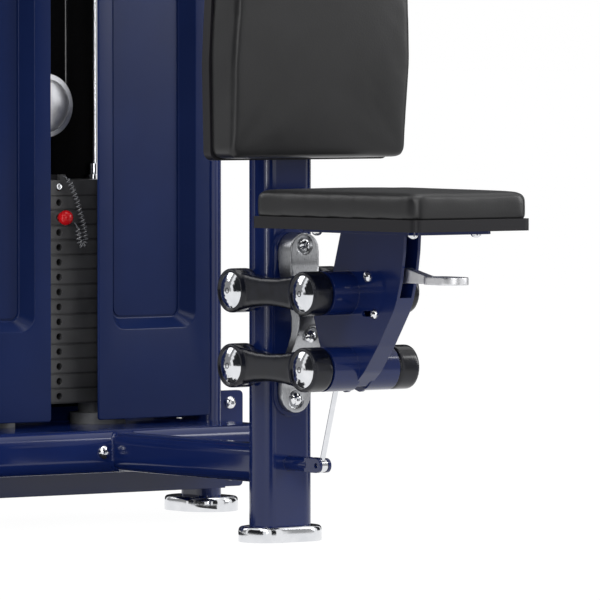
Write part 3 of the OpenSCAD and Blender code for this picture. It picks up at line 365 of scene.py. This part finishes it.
def meshFrom(name, points, faces):
    mesh = bpy.data.meshes.new(name)
    mesh.from_pydata([tuple(p) for p in points], [], faces)
    tidy = bmesh.new()
    tidy.from_mesh(mesh)
    bmesh.ops.recalc_face_normals(tidy, faces=tidy.faces)
    tidy.to_mesh(mesh)
    tidy.free()
    return mesh


def joinSeams(mesh):
    weld = bmesh.new()
    weld.from_mesh(mesh)
    bmesh.ops.remove_doubles(weld, verts=weld.verts, dist=1e-6)
    bmesh.ops.recalc_face_normals(weld, faces=weld.faces)
    weld.to_mesh(mesh)
    weld.free()
    return mesh


def loftRings(rings, closeStart=True, closeEnd=True):  # equal rings of points, joined by quads
    count = len(rings[0])
    points = [p for ring in rings for p in ring]
    faces = [(low + j, low + (j + 1) % count, low + count + (j + 1) % count, low + count + j)
             for low in range(0, len(points) - count, count) for j in range(count)]
    if closeStart:
        faces.append(tuple(range(count)))
    if closeEnd:
        faces.append(tuple(range(len(points) - count, len(points))))
    return points, faces


def gather(points, faces, more, skin):  # adds one loft to a growing mesh
    faces += [tuple(i + len(points) for i in face) for face in skin]
    points += more


def filleted(corners, radii, steps=8):  # outline points with rounded corners, in the plane
    out = []
    for i in range(len(corners)):
        p, a, b = (Vector(corners[k % len(corners)]) for k in (i, i - 1, i + 1))
        u, v = (a - p).normalized(), (b - p).normalized()
        half = math.acos(max(-1, min(1, u.dot(v)))) / 2
        r = radii[i]
        centre = p + (u + v).normalized() * r / math.sin(half)
        start, end = p + u * r / math.tan(half) - centre, p + v * r / math.tan(half) - centre
        first = math.atan2(start.y, start.x)
        turn = (math.atan2(end.y, end.x) - first + math.pi) % (2 * math.pi) - math.pi
        out += [centre + r * Vector((math.cos(first + turn * k / steps), math.sin(first + turn * k / steps)))
                for k in range(steps + 1)]
    return out


def turnedRings(profile, count=40):  # profile of (radius, height) pairs about the z axis
    return [[Vector((r * math.cos(2 * math.pi * k / count), r * math.sin(2 * math.pi * k / count), h))
             for k in range(count)] for r, h in profile]


def toward(axis):  # turns +Z to an axis
    return Vector((0, 0, 1)).rotation_difference(Vector(axis)).to_matrix().to_4x4()


# Curly lanyard: a coiled nylon-sheathed wire along the CAD tube's route; the sheath's grey is painted
# highlight on a black coil
lanyard = {"wire": 2.0, "coil": 4.2, "pitch": 6.2, "perTurn": 16, "tail": 7, "ease": 10,
           "route": [[8, 601.7, 552], [8, 595, 551], [11, 590, 545], [16, 587, 532], [22, 584, 514],
                     [27, 582, 495], [32, 580, 476], [35, 579, 460], [35, 578, 448], [30, 577, 441],
                     [24, 576, 443], [21, 576, 452], [20, 576, 462], [19, 577, 470], [13.6, 578, 478]]}


def smoothRoute(points, each=12):  # Catmull-Rom through the route's points
    pts = [Vector(p) for p in points]
    out = []
    for i in range(len(pts) - 1):
        p0, p1, p2, p3 = pts[max(i - 1, 0)], pts[i], pts[i + 1], pts[min(i + 2, len(pts) - 1)]
        for k in range(each):
            t = k / each
            out.append(0.5 * (2 * p1 + (p2 - p0) * t + (2 * p0 - 5 * p1 + 4 * p2 - p3) * t * t
                              + (3 * p1 - p0 - 3 * p2 + p3) * t ** 3))
    return out + [pts[-1]]


def makeLanyard():
    line = smoothRoute(lanyard["route"])
    runs = [0]
    for a, b in zip(line, line[1:]):
        runs.append(runs[-1] + (b - a).length)
    total = runs[-1]
    steps = int(total / lanyard["pitch"] * lanyard["perTurn"])
    side = Vector((1, 0, 0))
    points = []
    where = 0
    for k in range(steps + 1):
        run = total * k / steps
        while where < len(runs) - 2 and runs[where + 1] < run:
            where += 1
        at = line[where].lerp(line[where + 1], (run - runs[where]) / (runs[where + 1] - runs[where]))
        ahead = (line[where + 1] - line[where]).normalized()
        side = (side - ahead * side.dot(ahead)).normalized()
        grow = max(0, min(1, (min(run, total - run) - lanyard["tail"]) / lanyard["ease"]))
        out = lanyard["coil"] * grow * grow * (3 - 2 * grow)
        angle = 2 * math.pi * run / lanyard["pitch"]
        points.append(at + out * (math.cos(angle) * side + math.sin(angle) * ahead.cross(side)))
    wire = bpy.data.curves.new("lanyardWire", "CURVE")
    wire.dimensions = "3D"
    wire.bevel_depth = lanyard["wire"] / 2000
    wire.bevel_resolution = 3
    wire.use_fill_caps = True
    spline = wire.splines.new("POLY")
    spline.points.add(len(points) - 1)
    for knot, p in zip(spline.points, points):
        knot.co = (*spot(*p), 1)
    drawn = bpy.data.objects.new("lanyardLine", wire)
    scene.collection.objects.link(drawn)
    tube = bpy.data.meshes.new_from_object(drawn.evaluated_get(bpy.context.evaluated_depsgraph_get()))
    bpy.data.objects.remove(drawn)
    made = addPiece("lanyardWire", tube, "cable_coat", None)
    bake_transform(made)
    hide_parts("lanyard_cord")


makeLanyard()


def makeLiftCable():
    source = frame["nodes"]["lift_cable"]
    run = source.data.copy()
    run.transform(source.matrix_world)
    made = addPiece("liftCableRun", run, "cable_coat", None, coat=jacket)
    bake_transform(made)
    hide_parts("lift_cable")
    print("lift cable made")


makeLiftCable()


# Shroud panels: one moulded sheet, its field sunk as a pan behind the rim
shroud = {"gap": 46, "front": 557, "angle": 4.5, "width": 234, "low": 160, "top": 1530, "corner": 5,
          "rim": 30, "fieldLow": 305, "fieldTop": 1450, "fieldRound": 26, "sunk": 24, "slope": 16,
          "sheet": 4, "wall": 3, "roll": 3, "groove": [(0.5, 1.8), (2.8, 1.8), (3.3, 0)]}


def rectRing(x0, x1, z0, z1, r, y):
    corners = [(x0, z0), (x1, z0), (x1, z1), (x0, z1)]
    return [Vector((p.x, y, p.y)) for p in filleted(corners, [r] * 4, 6)]


def makeShroud(name, side, node):
    s = shroud

    def edge(inset, y):
        return rectRing(inset, s["width"] - inset, s["low"] + inset, s["top"] - inset, s["corner"], y)

    def field(inset, y):
        return rectRing(s["rim"] + inset, s["width"] - s["rim"] - inset,
                        s["fieldLow"] + inset, s["fieldTop"] - inset,
                        s["fieldRound"] - inset * 0.6, y)

    rings = [field(s["slope"] - 1, s["sunk"] + s["wall"]), field(s["slope"] - 2, s["sunk"] + s["wall"]),
             field(-s["wall"], s["sheet"] + 2), field(-s["wall"] - 2, s["sheet"]), edge(1, s["sheet"]),
             edge(0, s["sheet"] - 1), edge(0, 1.6), edge(0.5, 0.5), edge(1.6, 0)]
    bend = math.atan2(s["sunk"], s["slope"])
    turns = [bend * k / 4 for k in range(5)]
    away = s["roll"] * math.tan(bend / 2)
    rings += [field(-away + s["roll"] * math.sin(a), s["roll"] * (1 - math.cos(a))) for a in turns]
    rings += [field(s["slope"] + away - s["roll"] * math.sin(a), s["sunk"] - s["roll"] * (1 - math.cos(a)))
              for a in reversed(turns)]
    rings += [field(s["slope"] + away + out, s["sunk"] + deep) for out, deep in s["groove"]]
    turn = Matrix.Rotation(math.radians(s["angle"]), 4, "Z")
    points, faces = loftRings(rings)
    placed = []
    for p in points:
        q = turn @ p
        placed.append(spot(side * (s["gap"] + q.x), s["front"] + q.y, q.z))
    addPiece(name, meshFrom(name, placed, faces), "navy_shroud", "frame", (node,), 14)


makeShroud("shroudPanelLeft", 1, "shroud_left")
makeShroud("shroudPanelRight", -1, "shroud_right")
print("shroud panels made")

# Pads: vinyl pulled over foam, blown out by a cloth run and tucked in where it meets the board
foam = {"voxel": 5, "pressure": 4, "frames": 20, "most": 3, "tuck": 1.5, "mass": 0.4, "stretch": 30,
        "shear": 15, "bend": 3, "quality": 4, "sunk": 2.5, "held": 6, "rounds": 4}
seatPad = {"back": -120, "front": -486, "backHalf": 143, "frontHalf": 109.5, "rim": 2, "low": 505, "high": 40,
           "round": 12, "radii": [16, 16, 20, 20]}
backPad = {"half": 172, "low": 588, "tall": 560, "rim": 3, "face": -52, "thick": 66, "round": 10,
           "wide": 150, "turn": 300, "lowIn": 3, "turnIn": 8, "topIn": 52, "thin": 50,
           "radii": [14, 14, 300, 300, 80, 80, 300, 300]}


def stuffPad(name, rings, body, node, isHeld, shaped=None):
    points, faces = loftRings([[spot(*p) for p in ring] for ring in rings])
    made = bpy.data.objects.new(name + "Form", meshFrom(name + "Form", points, faces))
    scene.collection.objects.link(made)

    def settled():
        return bpy.data.meshes.new_from_object(made.evaluated_get(bpy.context.evaluated_depsgraph_get()))

    skin = made.modifiers.new("skin", "REMESH")
    skin.voxel_size = foam["voxel"] / 1000
    made.data = settled()
    made.modifiers.clear()
    for vertex in made.data.vertices:
        vertex.co = shaped(vertex.co) if shaped else vertex.co
    rest = [v.co.copy() for v in made.data.vertices]
    held = made.vertex_groups.new(name="held")
    held.add([i for i, p in enumerate(rest) if isHeld(p)], 1, "REPLACE")
    blown = made.modifiers.new("foam", "CLOTH")
    cloth = blown.settings
    cloth.quality, cloth.mass, cloth.use_pressure = foam["quality"], foam["mass"], True
    cloth.tension_stiffness = cloth.compression_stiffness = foam["stretch"]
    cloth.shear_stiffness, cloth.bending_stiffness = foam["shear"], foam["bend"]
    cloth.uniform_pressure_force = foam["pressure"]
    cloth.vertex_group_mass = "held"
    cloth.effector_weights.gravity = 0
    blown.point_cache.frame_start, blown.point_cache.frame_end = 1, foam["frames"]
    for tick in range(1, foam["frames"] + 1):
        scene.frame_set(tick)
    swollen = [v.co.copy() for v in settled().vertices]
    scene.frame_set(1)
    made.modifiers.clear()
    furthest = max((after - before).length for before, after in zip(rest, swollen))
    share = min(1, foam["most"] / 1000 / furthest)
    for vertex, before, after in zip(made.data.vertices, rest, swollen):
        vertex.co = before.lerp(after, share)
    print(name, "swelled by up to", round(furthest * share * 1000, 1), "mm")
    ease = made.modifiers.new("ease", "SMOOTH")
    ease.factor, ease.iterations = 0.5, foam["rounds"]
    made.modifiers.new("fine", "SUBSURF").levels = 1
    cover = settled()
    cover.name = name
    bpy.data.objects.remove(made)
    addPiece(name, cover, "black_vinyl", body, (node,), 180)


def rolled(depth, radius, tuck):  # (inset, height) pairs up a side and over its rounded edge
    side = [(tuck, -foam["sunk"]), (tuck * 0.4, 0), (0, 3), (0, (depth - radius) / 2), (0, depth - radius)]
    return side + [(radius * (1 - math.cos(a)), depth - radius + radius * math.sin(a))
                   for a in [math.pi / 16 * k for k in range(1, 8)]] + [(radius * 1.6, depth)]


def makeSeatPad():
    s = seatPad
    rings = []
    for inset, up in rolled(s["high"], s["round"], foam["tuck"]):
        i = inset + s["rim"]
        corners = [(-s["backHalf"] + i, s["back"] - i), (s["backHalf"] - i, s["back"] - i),
                   (s["frontHalf"] - i, s["front"] + i), (-s["frontHalf"] + i, s["front"] + i)]
        rings.append([(p.x, p.y, s["low"] + up) for p in filleted(corners, s["radii"])])
    stuffPad("seatCushion", rings, "seat", "seat_pad", lambda p: p.z < (s["low"] + foam["held"]) / 1000)


def makeBackPad():
    s = backPad
    back = (s["face"] - midY) / 1000

    def thinned(p):  # the pad swells towards its middle and is thinner at both ends
        bow = math.sin(math.pi * max(0, min(1, (p.z * 1000 - s["low"]) / s["tall"])))
        deep = s["thin"] + (s["thick"] - s["thin"]) * bow
        return Vector((p.x, back + (p.y - back) * deep / s["thick"], p.z))

    rings = []
    for inset, out in rolled(s["thick"], s["round"], foam["tuck"]):
        i = inset + s["rim"]
        h, low, top = s["half"] - i, s["low"] + i, s["low"] + s["tall"] - i
        half = [(h - s["lowIn"], low), (h, s["low"] + s["wide"]), (h - s["turnIn"], s["low"] + s["turn"]),
                (h - s["topIn"], top)]
        corners = [(-half[0][0], low)] + half + [(-x, z) for x, z in reversed(half[1:])]
        rings.append([(p.x, s["face"] - out, p.y) for p in filleted(corners, s["radii"])])
    stuffPad("backCushion", rings, "frame", "back_pad", lambda p: p.y > back - foam["held"] / 1000, thinned)


makeSeatPad()
makeBackPad()
print("pads made")

# Castings: the solids' own forms with poured, fettled edges (voxel mm, rounds of easing, body, finish)
castings = {"links_upper": (2.2, 8, "upper_link", "black_gloss"),
            "links_lower": (2.2, 8, "lower_link", "black_gloss"),
            "post_casting": (1.8, 4, "frame", "cast_silver"),
            "seat_lever": (1.0, 16, "lever", "polished_alu")}


def easeCasting(node, voxel, rounds, body, slot):
    source = frame["nodes"][node]
    made = bpy.data.objects.new(node + "Form", source.data.copy())
    made.matrix_world = source.matrix_world
    scene.collection.objects.link(made)
    made.modifiers.new("skin", "REMESH").voxel_size = voxel / 1000
    ease = made.modifiers.new("ease", "SMOOTH")
    ease.factor, ease.iterations = 0.5, rounds
    poured = bpy.data.meshes.new_from_object(made.evaluated_get(bpy.context.evaluated_depsgraph_get()))
    poured.transform(source.matrix_world)
    bpy.data.objects.remove(made)
    words = node.split("_")
    addPiece(words[0] + words[1].title() + "Cast", poured, slot, body, (node,), 180)


for node, settings in castings.items():
    easeCasting(node, *settings)
print("castings eased")

# Grips: moulded sleeves with finger rings and a flared end
# (lip, ring and end are pairs of inset and height)
sleeve = {"bore": 15, "play": 0.4, "plain": 13, "step": 11, "lip": [(1.5, 0), (0, 1.5), (0, 7), (2, 11)],
          "ring": [(1.3, 1), (0.3, 3), (0, 5), (0.3, 7), (1.3, 9)], "end": [(2, -9), (1, -2), (3, 0)]}


def makeGrip(name, node, body):
    low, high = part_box(node)
    wide, tall = (high[0] - low[0]) * 500, (high[2] - low[2]) * 1000
    outer = wide - sleeve["play"]
    profile = [(sleeve["bore"], 0)] + [(outer - inset, z) for inset, z in sleeve["lip"]]
    for k in range(int((tall - 2 * sleeve["plain"]) / sleeve["step"])):
        start = sleeve["plain"] + k * sleeve["step"]
        profile += [(outer - inset, start + z) for inset, z in sleeve["ring"]]
    profile += [(outer - inset, tall + z) for inset, z in sleeve["end"]] + [(sleeve["bore"], tall)]
    points, faces = loftRings(turnedRings(profile + profile[:1], 36), False, False)
    foot = Vector(((low[0] + high[0]) / 2, (low[1] + high[1]) / 2, low[2]))
    mesh = joinSeams(meshFrom(name, [foot + p / 1000 for p in points], faces))
    addPiece(name, mesh, "grip_rubber", body, (node,), 30)


makeGrip("gripSleeveLeft", "grip_left", "hand_left")
makeGrip("gripSleeveRight", "grip_right", "hand_right")
print("grips made")

# Feet: drawn chrome shells with a rolled shoulder, over the tubes' ends
feet = {"high": 24, "gap": 0.4, "flat": 0.02, "steps": 14,
        "places": [(0, 0, 105, 52, 17), (315, 650, 45, 80, 28), (-315, 650, 45, 80, 28)],
        "profile": [(3, 0), (0.6, 0), (0, 1), (0, 8), (0, 16), (0.3, 18.5), (1.2, 21), (2.8, 22.8),
                    (5.2, 23.7), (8.5, 24)]}


def makeFeet():
    points, faces = [], []
    for x, y, wide, deep, rim in feet["places"]:
        rings = []
        inner = rim - feet["gap"]
        for inset, z in feet["profile"] + [(inner, feet["high"]), (inner, feet["high"] / 2 + 1)]:
            w, d = wide / 2 + rim - inset, deep / 2 + rim - inset
            radius = min(w, d) - feet["flat"]
            outline = filleted([(-w, -d), (w, -d), (w, d), (-w, d)], [radius] * 4, feet["steps"])
            rings.append([spot(x + p.x, y + p.y, z) for p in outline])
        gather(points, faces, *loftRings(rings))
    addPiece("chromeFeet", meshFrom("chromeFeet", points, faces), "chrome_plate", "frame", ("feet",), 50)


makeFeet()
print("feet made")

# Rear cover: a folded sheet with a pressed field, two groups of vents and a black felt mat inside, which
# paints the shade in the tower's dark interior
cover = {"half": 337.5, "low": 150, "top": 1530, "front": 690.3, "back": 724.3, "wall": 3, "round": 6,
         "corner": 12, "rim": 44, "press": 5, "slope": 7, "slotHalf": 110, "slotHigh": 9, "slotStep": 24,
         "slots": 7, "vents": (360, 1250), "past": 2, "shadeMatGap": 1,
         "shadeMatEdge": [(30, 0), (24, 0), (24, 1.5), (26, 3.4), (29, 4), (40, 4)]}


def capsuleRing(x0, x1, z, r, y):  # stadium outline in the xz plane
    turns = [math.pi * k / 8 for k in range(9)]
    return ([Vector((x1 + r * math.sin(a), y, z - r * math.cos(a))) for a in turns]
            + [Vector((x0 - r * math.sin(a), y, z + r * math.cos(a))) for a in turns])


def makeRearCover():
    c = cover

    def skin(inset, y):
        return rectRing(-c["half"] + inset, c["half"] - inset,
                        c["low"] + inset, c["top"] - inset, c["corner"], y)

    floor = c["back"] - c["press"] - c["wall"]
    rings = [skin(c["wall"], floor), skin(c["wall"], c["front"]), skin(0, c["front"])]
    rings += [skin(c["round"] * (1 - math.cos(a)), c["back"] - c["round"] * (1 - math.sin(a)))
              for a in [math.pi / 8 * k for k in range(5)]]
    rings += [skin(c["rim"], c["back"]), skin(c["rim"] + c["slope"], c["back"] - c["press"])]
    points, faces = loftRings([[spot(*p) for p in ring] for ring in rings])
    sheet = bpy.data.objects.new("coverForm", meshFrom("coverForm", points, faces))
    scene.collection.objects.link(sheet)
    points, faces = [], []
    for start in c["vents"]:
        for k in range(c["slots"]):
            z = start - k * c["slotStep"]
            ends = [capsuleRing(-c["slotHalf"], c["slotHalf"], z, c["slotHigh"] / 2, y)
                    for y in (floor - c["past"], c["back"] + c["past"])]
            gather(points, faces, *loftRings([[spot(*p) for p in ring] for ring in ends]))
    punch = bpy.data.objects.new("coverPunch", meshFrom("coverPunch", points, faces))
    scene.collection.objects.link(punch)
    cut = sheet.modifiers.new("vents", "BOOLEAN")
    cut.object, cut.operation, cut.solver = punch, "DIFFERENCE", "EXACT"
    pressed = bpy.data.meshes.new_from_object(sheet.evaluated_get(bpy.context.evaluated_depsgraph_get()))
    bpy.data.objects.remove(sheet)
    bpy.data.objects.remove(punch)
    addPiece("rearCoverSheet", pressed, "navy_enamel", "frame", ("rear_cover",), 24)
    # the felt mat lines the cover's inside as painted shade, seen through the gap between the shrouds
    inside = floor - c["shadeMatGap"]
    mat = [skin(inset, inside - deep) for inset, deep in c["shadeMatEdge"]]
    points, faces = loftRings([[spot(*p) for p in ring] for ring in mat])
    addPiece("rearCoverShadeMat", meshFrom("rearCoverShadeMat", points, faces), "grip_rubber", "frame", (), 35, felt)


makeRearCover()
print("rear cover made")

# Weld beads at the base tube's ends: one on the post's flat, one that follows the beam's rounded front
bead = {"half": (28, 30), "corner": 18, "middle": 118, "post": 26, "beam": 412, "beamHalf": 34,
        "beamRound": 22, "wide": 3.4, "ripple": 0.5, "pitch": 5, "step": 1.2}


def makeBeads():
    b = bead
    wide, high = b["half"]
    line = filleted([(-wide, -high), (wide, -high), (wide, high), (-wide, high)], [b["corner"]] * 4, 10)
    dense = []
    for p, q in zip(line, line[1:] + line[:1]):
        count = max(1, int((q - p).length / b["step"]))
        dense += [p.lerp(q, k / count) for k in range(count)]

    def beamFace(z):
        past = max(0, abs(z) - b["beamHalf"] + b["beamRound"])
        return b["beam"] + b["beamRound"] - math.sqrt(max(0, b["beamRound"] ** 2 - past ** 2))

    def ring(out, y):
        made = []
        run = 0
        for k, here in enumerate(dense):
            ahead = (dense[(k + 1) % len(dense)] - dense[k - 1]).normalized()
            run += (here - dense[k - 1]).length if k else 0
            swell = out + (b["ripple"] * math.sin(2 * math.pi * run / b["pitch"]) if out > 0.5 else 0)
            at = here + Vector((ahead.y, -ahead.x)) * swell
            made.append(spot(at.x, y(min(abs(at.y), b["beamHalf"] - 0.5)), b["middle"] + at.y))
        return made

    arc = [math.pi / 8 * k for k in range(5)]
    onPost = [ring(-1, lambda z: b["post"] - 0.5)]
    onPost += [ring(b["wide"] * math.cos(a), lambda z, a=a: b["post"] + b["wide"] * math.sin(a)) for a in arc]
    onPost += [ring(-1, lambda z: b["post"] + b["wide"])]
    onBeam = [ring(-1, lambda z: beamFace(z) + 1)]
    onBeam += [ring(b["wide"] * math.cos(a), lambda z, a=a: beamFace(z) + 0.6 - b["wide"] * math.sin(a))
               for a in arc]
    onBeam += [ring(0.2, lambda z: b["beam"] - b["wide"] - 1), ring(-1, lambda z: b["beam"] - b["wide"] - 1)]
    points, faces = [], []
    for seam in (onPost, onBeam):
        gather(points, faces, *loftRings(seam + seam[:1], False, False))
    addPiece("weldBeads", joinSeams(meshFrom("weldBeads", points, faces)), "navy_enamel", "frame", (), 60)


makeBeads()
print("weld beads made")

# Small hardware: turned profiles (radius, height) set along an axis, gathered into one piece for each body
socket = [(4.6, -0.4), (4.6, 0.3), (3.9, 0.5), (3.3, 0.2), (3.0, -0.2), (0.2, -0.3)]
linkEnds = {"out": 104.1, "post": -5, "seat": -191, "rows": (388, 273)}
ringBolt = [(2.6, 0), (5.6, 0), (5.6, 1.8), (5.0, 2.4), (4.2, 2.6), (3.2, 2.4), (2.6, 1.6)]


def endPlaces(end):  # both sides of both rows of links
    return [((side * linkEnds["out"], linkEnds[end], z), (side, 0, 0))
            for side in (-1, 1) for z in linkEnds["rows"]]


hardware = [
    ("capSocketsPost", "black_paint", "frame", socket, endPlaces("post")),
    ("capSocketsSeat", "black_paint", "seat", socket, endPlaces("seat")),
    ("headRing", "chrome_plate", "lift", ringBolt, [((0, 601.9, 535.6), (0, -1, 0))])]


def makeHardware(name, slot, body, profile, places):
    points, faces = [], []
    for at, axis in places:
        more, skin = loftRings(turnedRings(profile, 28))
        turn = toward(axis)
        gather(points, faces, [spot(*at) + (turn @ p) / 1000 for p in more], skin)
    addPiece(name, meshFrom(name, points, faces), slot, body)


for entry in hardware:
    makeHardware(*entry)
print("hardware made")

# Studio: white floor, soft boxes for long streaks, a ring of dark and grey cards to contrast with the gloss
studio = {"floor": 600, "ambient": 0.36, "floorWhite": 0.9, "floorGlow": 1.09, "ring": 6, "ringHigh": 5,
          "floorGrey": 0.6, "felt": "#15171c", "feltRough": 0.9, "apronHigh": 0.004, "ringLow": 0.01,
          "mat": (-0.45, 0.02, 0.3, 0.46), "matHigh": 0.003,
          "boxes": [("keyBox", (-3.4, -3.2, 3.6), (0, 0, 0.7), 2.4, 2.4, 62),
                    ("sideBox", (3.6, -2.6, 2.2), (0, 0, 0.7), 1.0, 3.0, 66),
                    ("topBox", (0.2, -0.4, 4.4), (0, 0, 0.7), 3.0, 3.0, 60),
                    ("backBox", (-2.0, 3.6, 2.6), (0, 0, 0.7), 2.0, 2.0, 28),
                    ("gapBox", (-0.06, 0.452, 0.75), (0.03, 0.49, 0.75), 0.014, 1.1, 0.3),
                    ("domeBox", (0.062, 0.45, 0.73), (-0.01, 0.49, 0.73), 0.02, 0.12, 0.018),
                    ("stripBox", (-2.6, -4.2, 1.3), (0, 0, 0.8), 0.35, 2.2, 22)],
          "cards": [(-57, -34, 0.36, 1.3), (-14, 14, 0, 1.3), (24, 90, 0, 5.9), (98, 142, 0.26, 5.9),
                    (152, 222, 0, 5.9), (256, 276, 0, 1.3)]}


# 1 for a ray that looks, directly or in a mirror or through glass, and 0 for one that lights
def seenRays(tree):
    rays = addNode(tree, "ShaderNodeLightPath")
    seen = addNode(tree, "ShaderNodeMath", {"operation": "ADD", "use_clamp": True},
                   {0: rays.outputs["Is Camera Ray"], 1: rays.outputs["Is Glossy Ray"]})
    return addNode(tree, "ShaderNodeMath", {"operation": "ADD", "use_clamp": True},
                   {0: seen.outputs["Value"], 1: rays.outputs["Is Transmission Ray"]})


def addCard(name, points, faces, shine):  # seen in reflections alone
    black = bpy.data.materials.new(name + "Felt")
    black.use_nodes = True
    cloth = black.node_tree.nodes["Principled BSDF"].inputs
    cloth["Base Color"].default_value = linear(studio["felt"])
    cloth["Roughness"].default_value = studio["feltRough"]
    cloth["Emission Color"].default_value = (1, 1, 1, 1)
    cloth["Emission Strength"].default_value = shine
    mesh = bpy.data.meshes.new(name)
    mesh.from_pydata(points, [], faces)
    mesh.materials.append(black)
    card = bpy.data.objects.new(name, mesh)
    scene.collection.objects.link(card)
    card.visible_camera = False
    card.visible_diffuse = False
    card.visible_shadow = False


def makeStudio():
    size = studio["floor"] / 2
    ground = bpy.data.meshes.new("floor")
    corners = [(-size, -size, 0), (size, -size, 0), (size, size, 0), (-size, size, 0)]
    ground.from_pydata(corners, [], [(0, 1, 2, 3)])
    floor = bpy.data.objects.new("floor", ground)
    scene.collection.objects.link(floor)
    paper = bpy.data.materials.new("whitePaper")
    paper.use_nodes = True
    tree = paper.node_tree
    tree.nodes.clear()
    seen = seenRays(tree)
    share = addNode(tree, "ShaderNodeMath", {"operation": "MULTIPLY", 1: studio["floorWhite"]},
                    {0: seen.outputs["Value"]})
    matt = addNode(tree, "ShaderNodeBsdfDiffuse", {"Color": (*[studio["floorGrey"]] * 3, 1)})
    glow = addNode(tree, "ShaderNodeEmission", {"Color": (1, 1, 1, 1), "Strength": studio["floorGlow"]})
    mix = addNode(tree, "ShaderNodeMixShader", None,
                  {0: share.outputs["Value"], 1: matt.outputs["BSDF"], 2: glow.outputs["Emission"]})
    addNode(tree, "ShaderNodeOutputMaterial", None, {"Surface": mix.outputs["Shader"]})
    ground.materials.append(paper)
    for k, (first, last, shine, apron) in enumerate(studio["cards"]):
        bend = [math.radians(first + (last - first) * i / 6) for i in range(7)]
        edges = [(apron, studio["apronHigh"]), (studio["ring"], studio["ringLow"]),
                 (studio["ring"], studio["ringHigh"])]
        points = [(r * math.cos(a), r * math.sin(a), z) for a in bend for r, z in edges]
        faces = [(k0, k0 + 3, k0 + 4, k0 + 1) for k0 in (3 * i + j for i in range(6) for j in range(2))]
        addCard(f"card{k}", points, faces, shine)
    x0, y0, x1, y1 = studio["mat"]
    z = studio["matHigh"]
    addCard("matUnderBeam", [(x0, y0, z), (x1, y0, z), (x1, y1, z), (x0, y1, z)], [(0, 1, 2, 3)], 0)
    for name, at, aim, wide, high, power in studio["boxes"]:
        lamp = bpy.data.lights.new(name, "AREA")
        lamp.shape = "RECTANGLE"
        lamp.size, lamp.size_y, lamp.energy = wide, high, power
        made = bpy.data.objects.new(name, lamp)
        scene.collection.objects.link(made)
        made.location = at
        made.rotation_euler = (Vector(aim) - Vector(at)).to_track_quat("-Z", "Y").to_euler()
        made.visible_camera = False
    world = bpy.data.worlds.new("studioWorld")
    scene.world = world
    world.use_nodes = True
    tree = world.node_tree
    tree.nodes.clear()
    seen = seenRays(tree)
    soft = addNode(tree, "ShaderNodeBackground", {"Color": (0.9, 0.93, 1, 1), "Strength": studio["ambient"]})
    white = addNode(tree, "ShaderNodeBackground", {"Color": (1, 1, 1, 1), "Strength": 1})
    mix = addNode(tree, "ShaderNodeMixShader", None,
                  {0: seen.outputs["Value"], 1: soft.outputs["Background"], 2: white.outputs["Background"]})
    addNode(tree, "ShaderNodeOutputWorld", None, {"Surface": mix.outputs["Shader"]})
    print("studio set")


makeStudio()
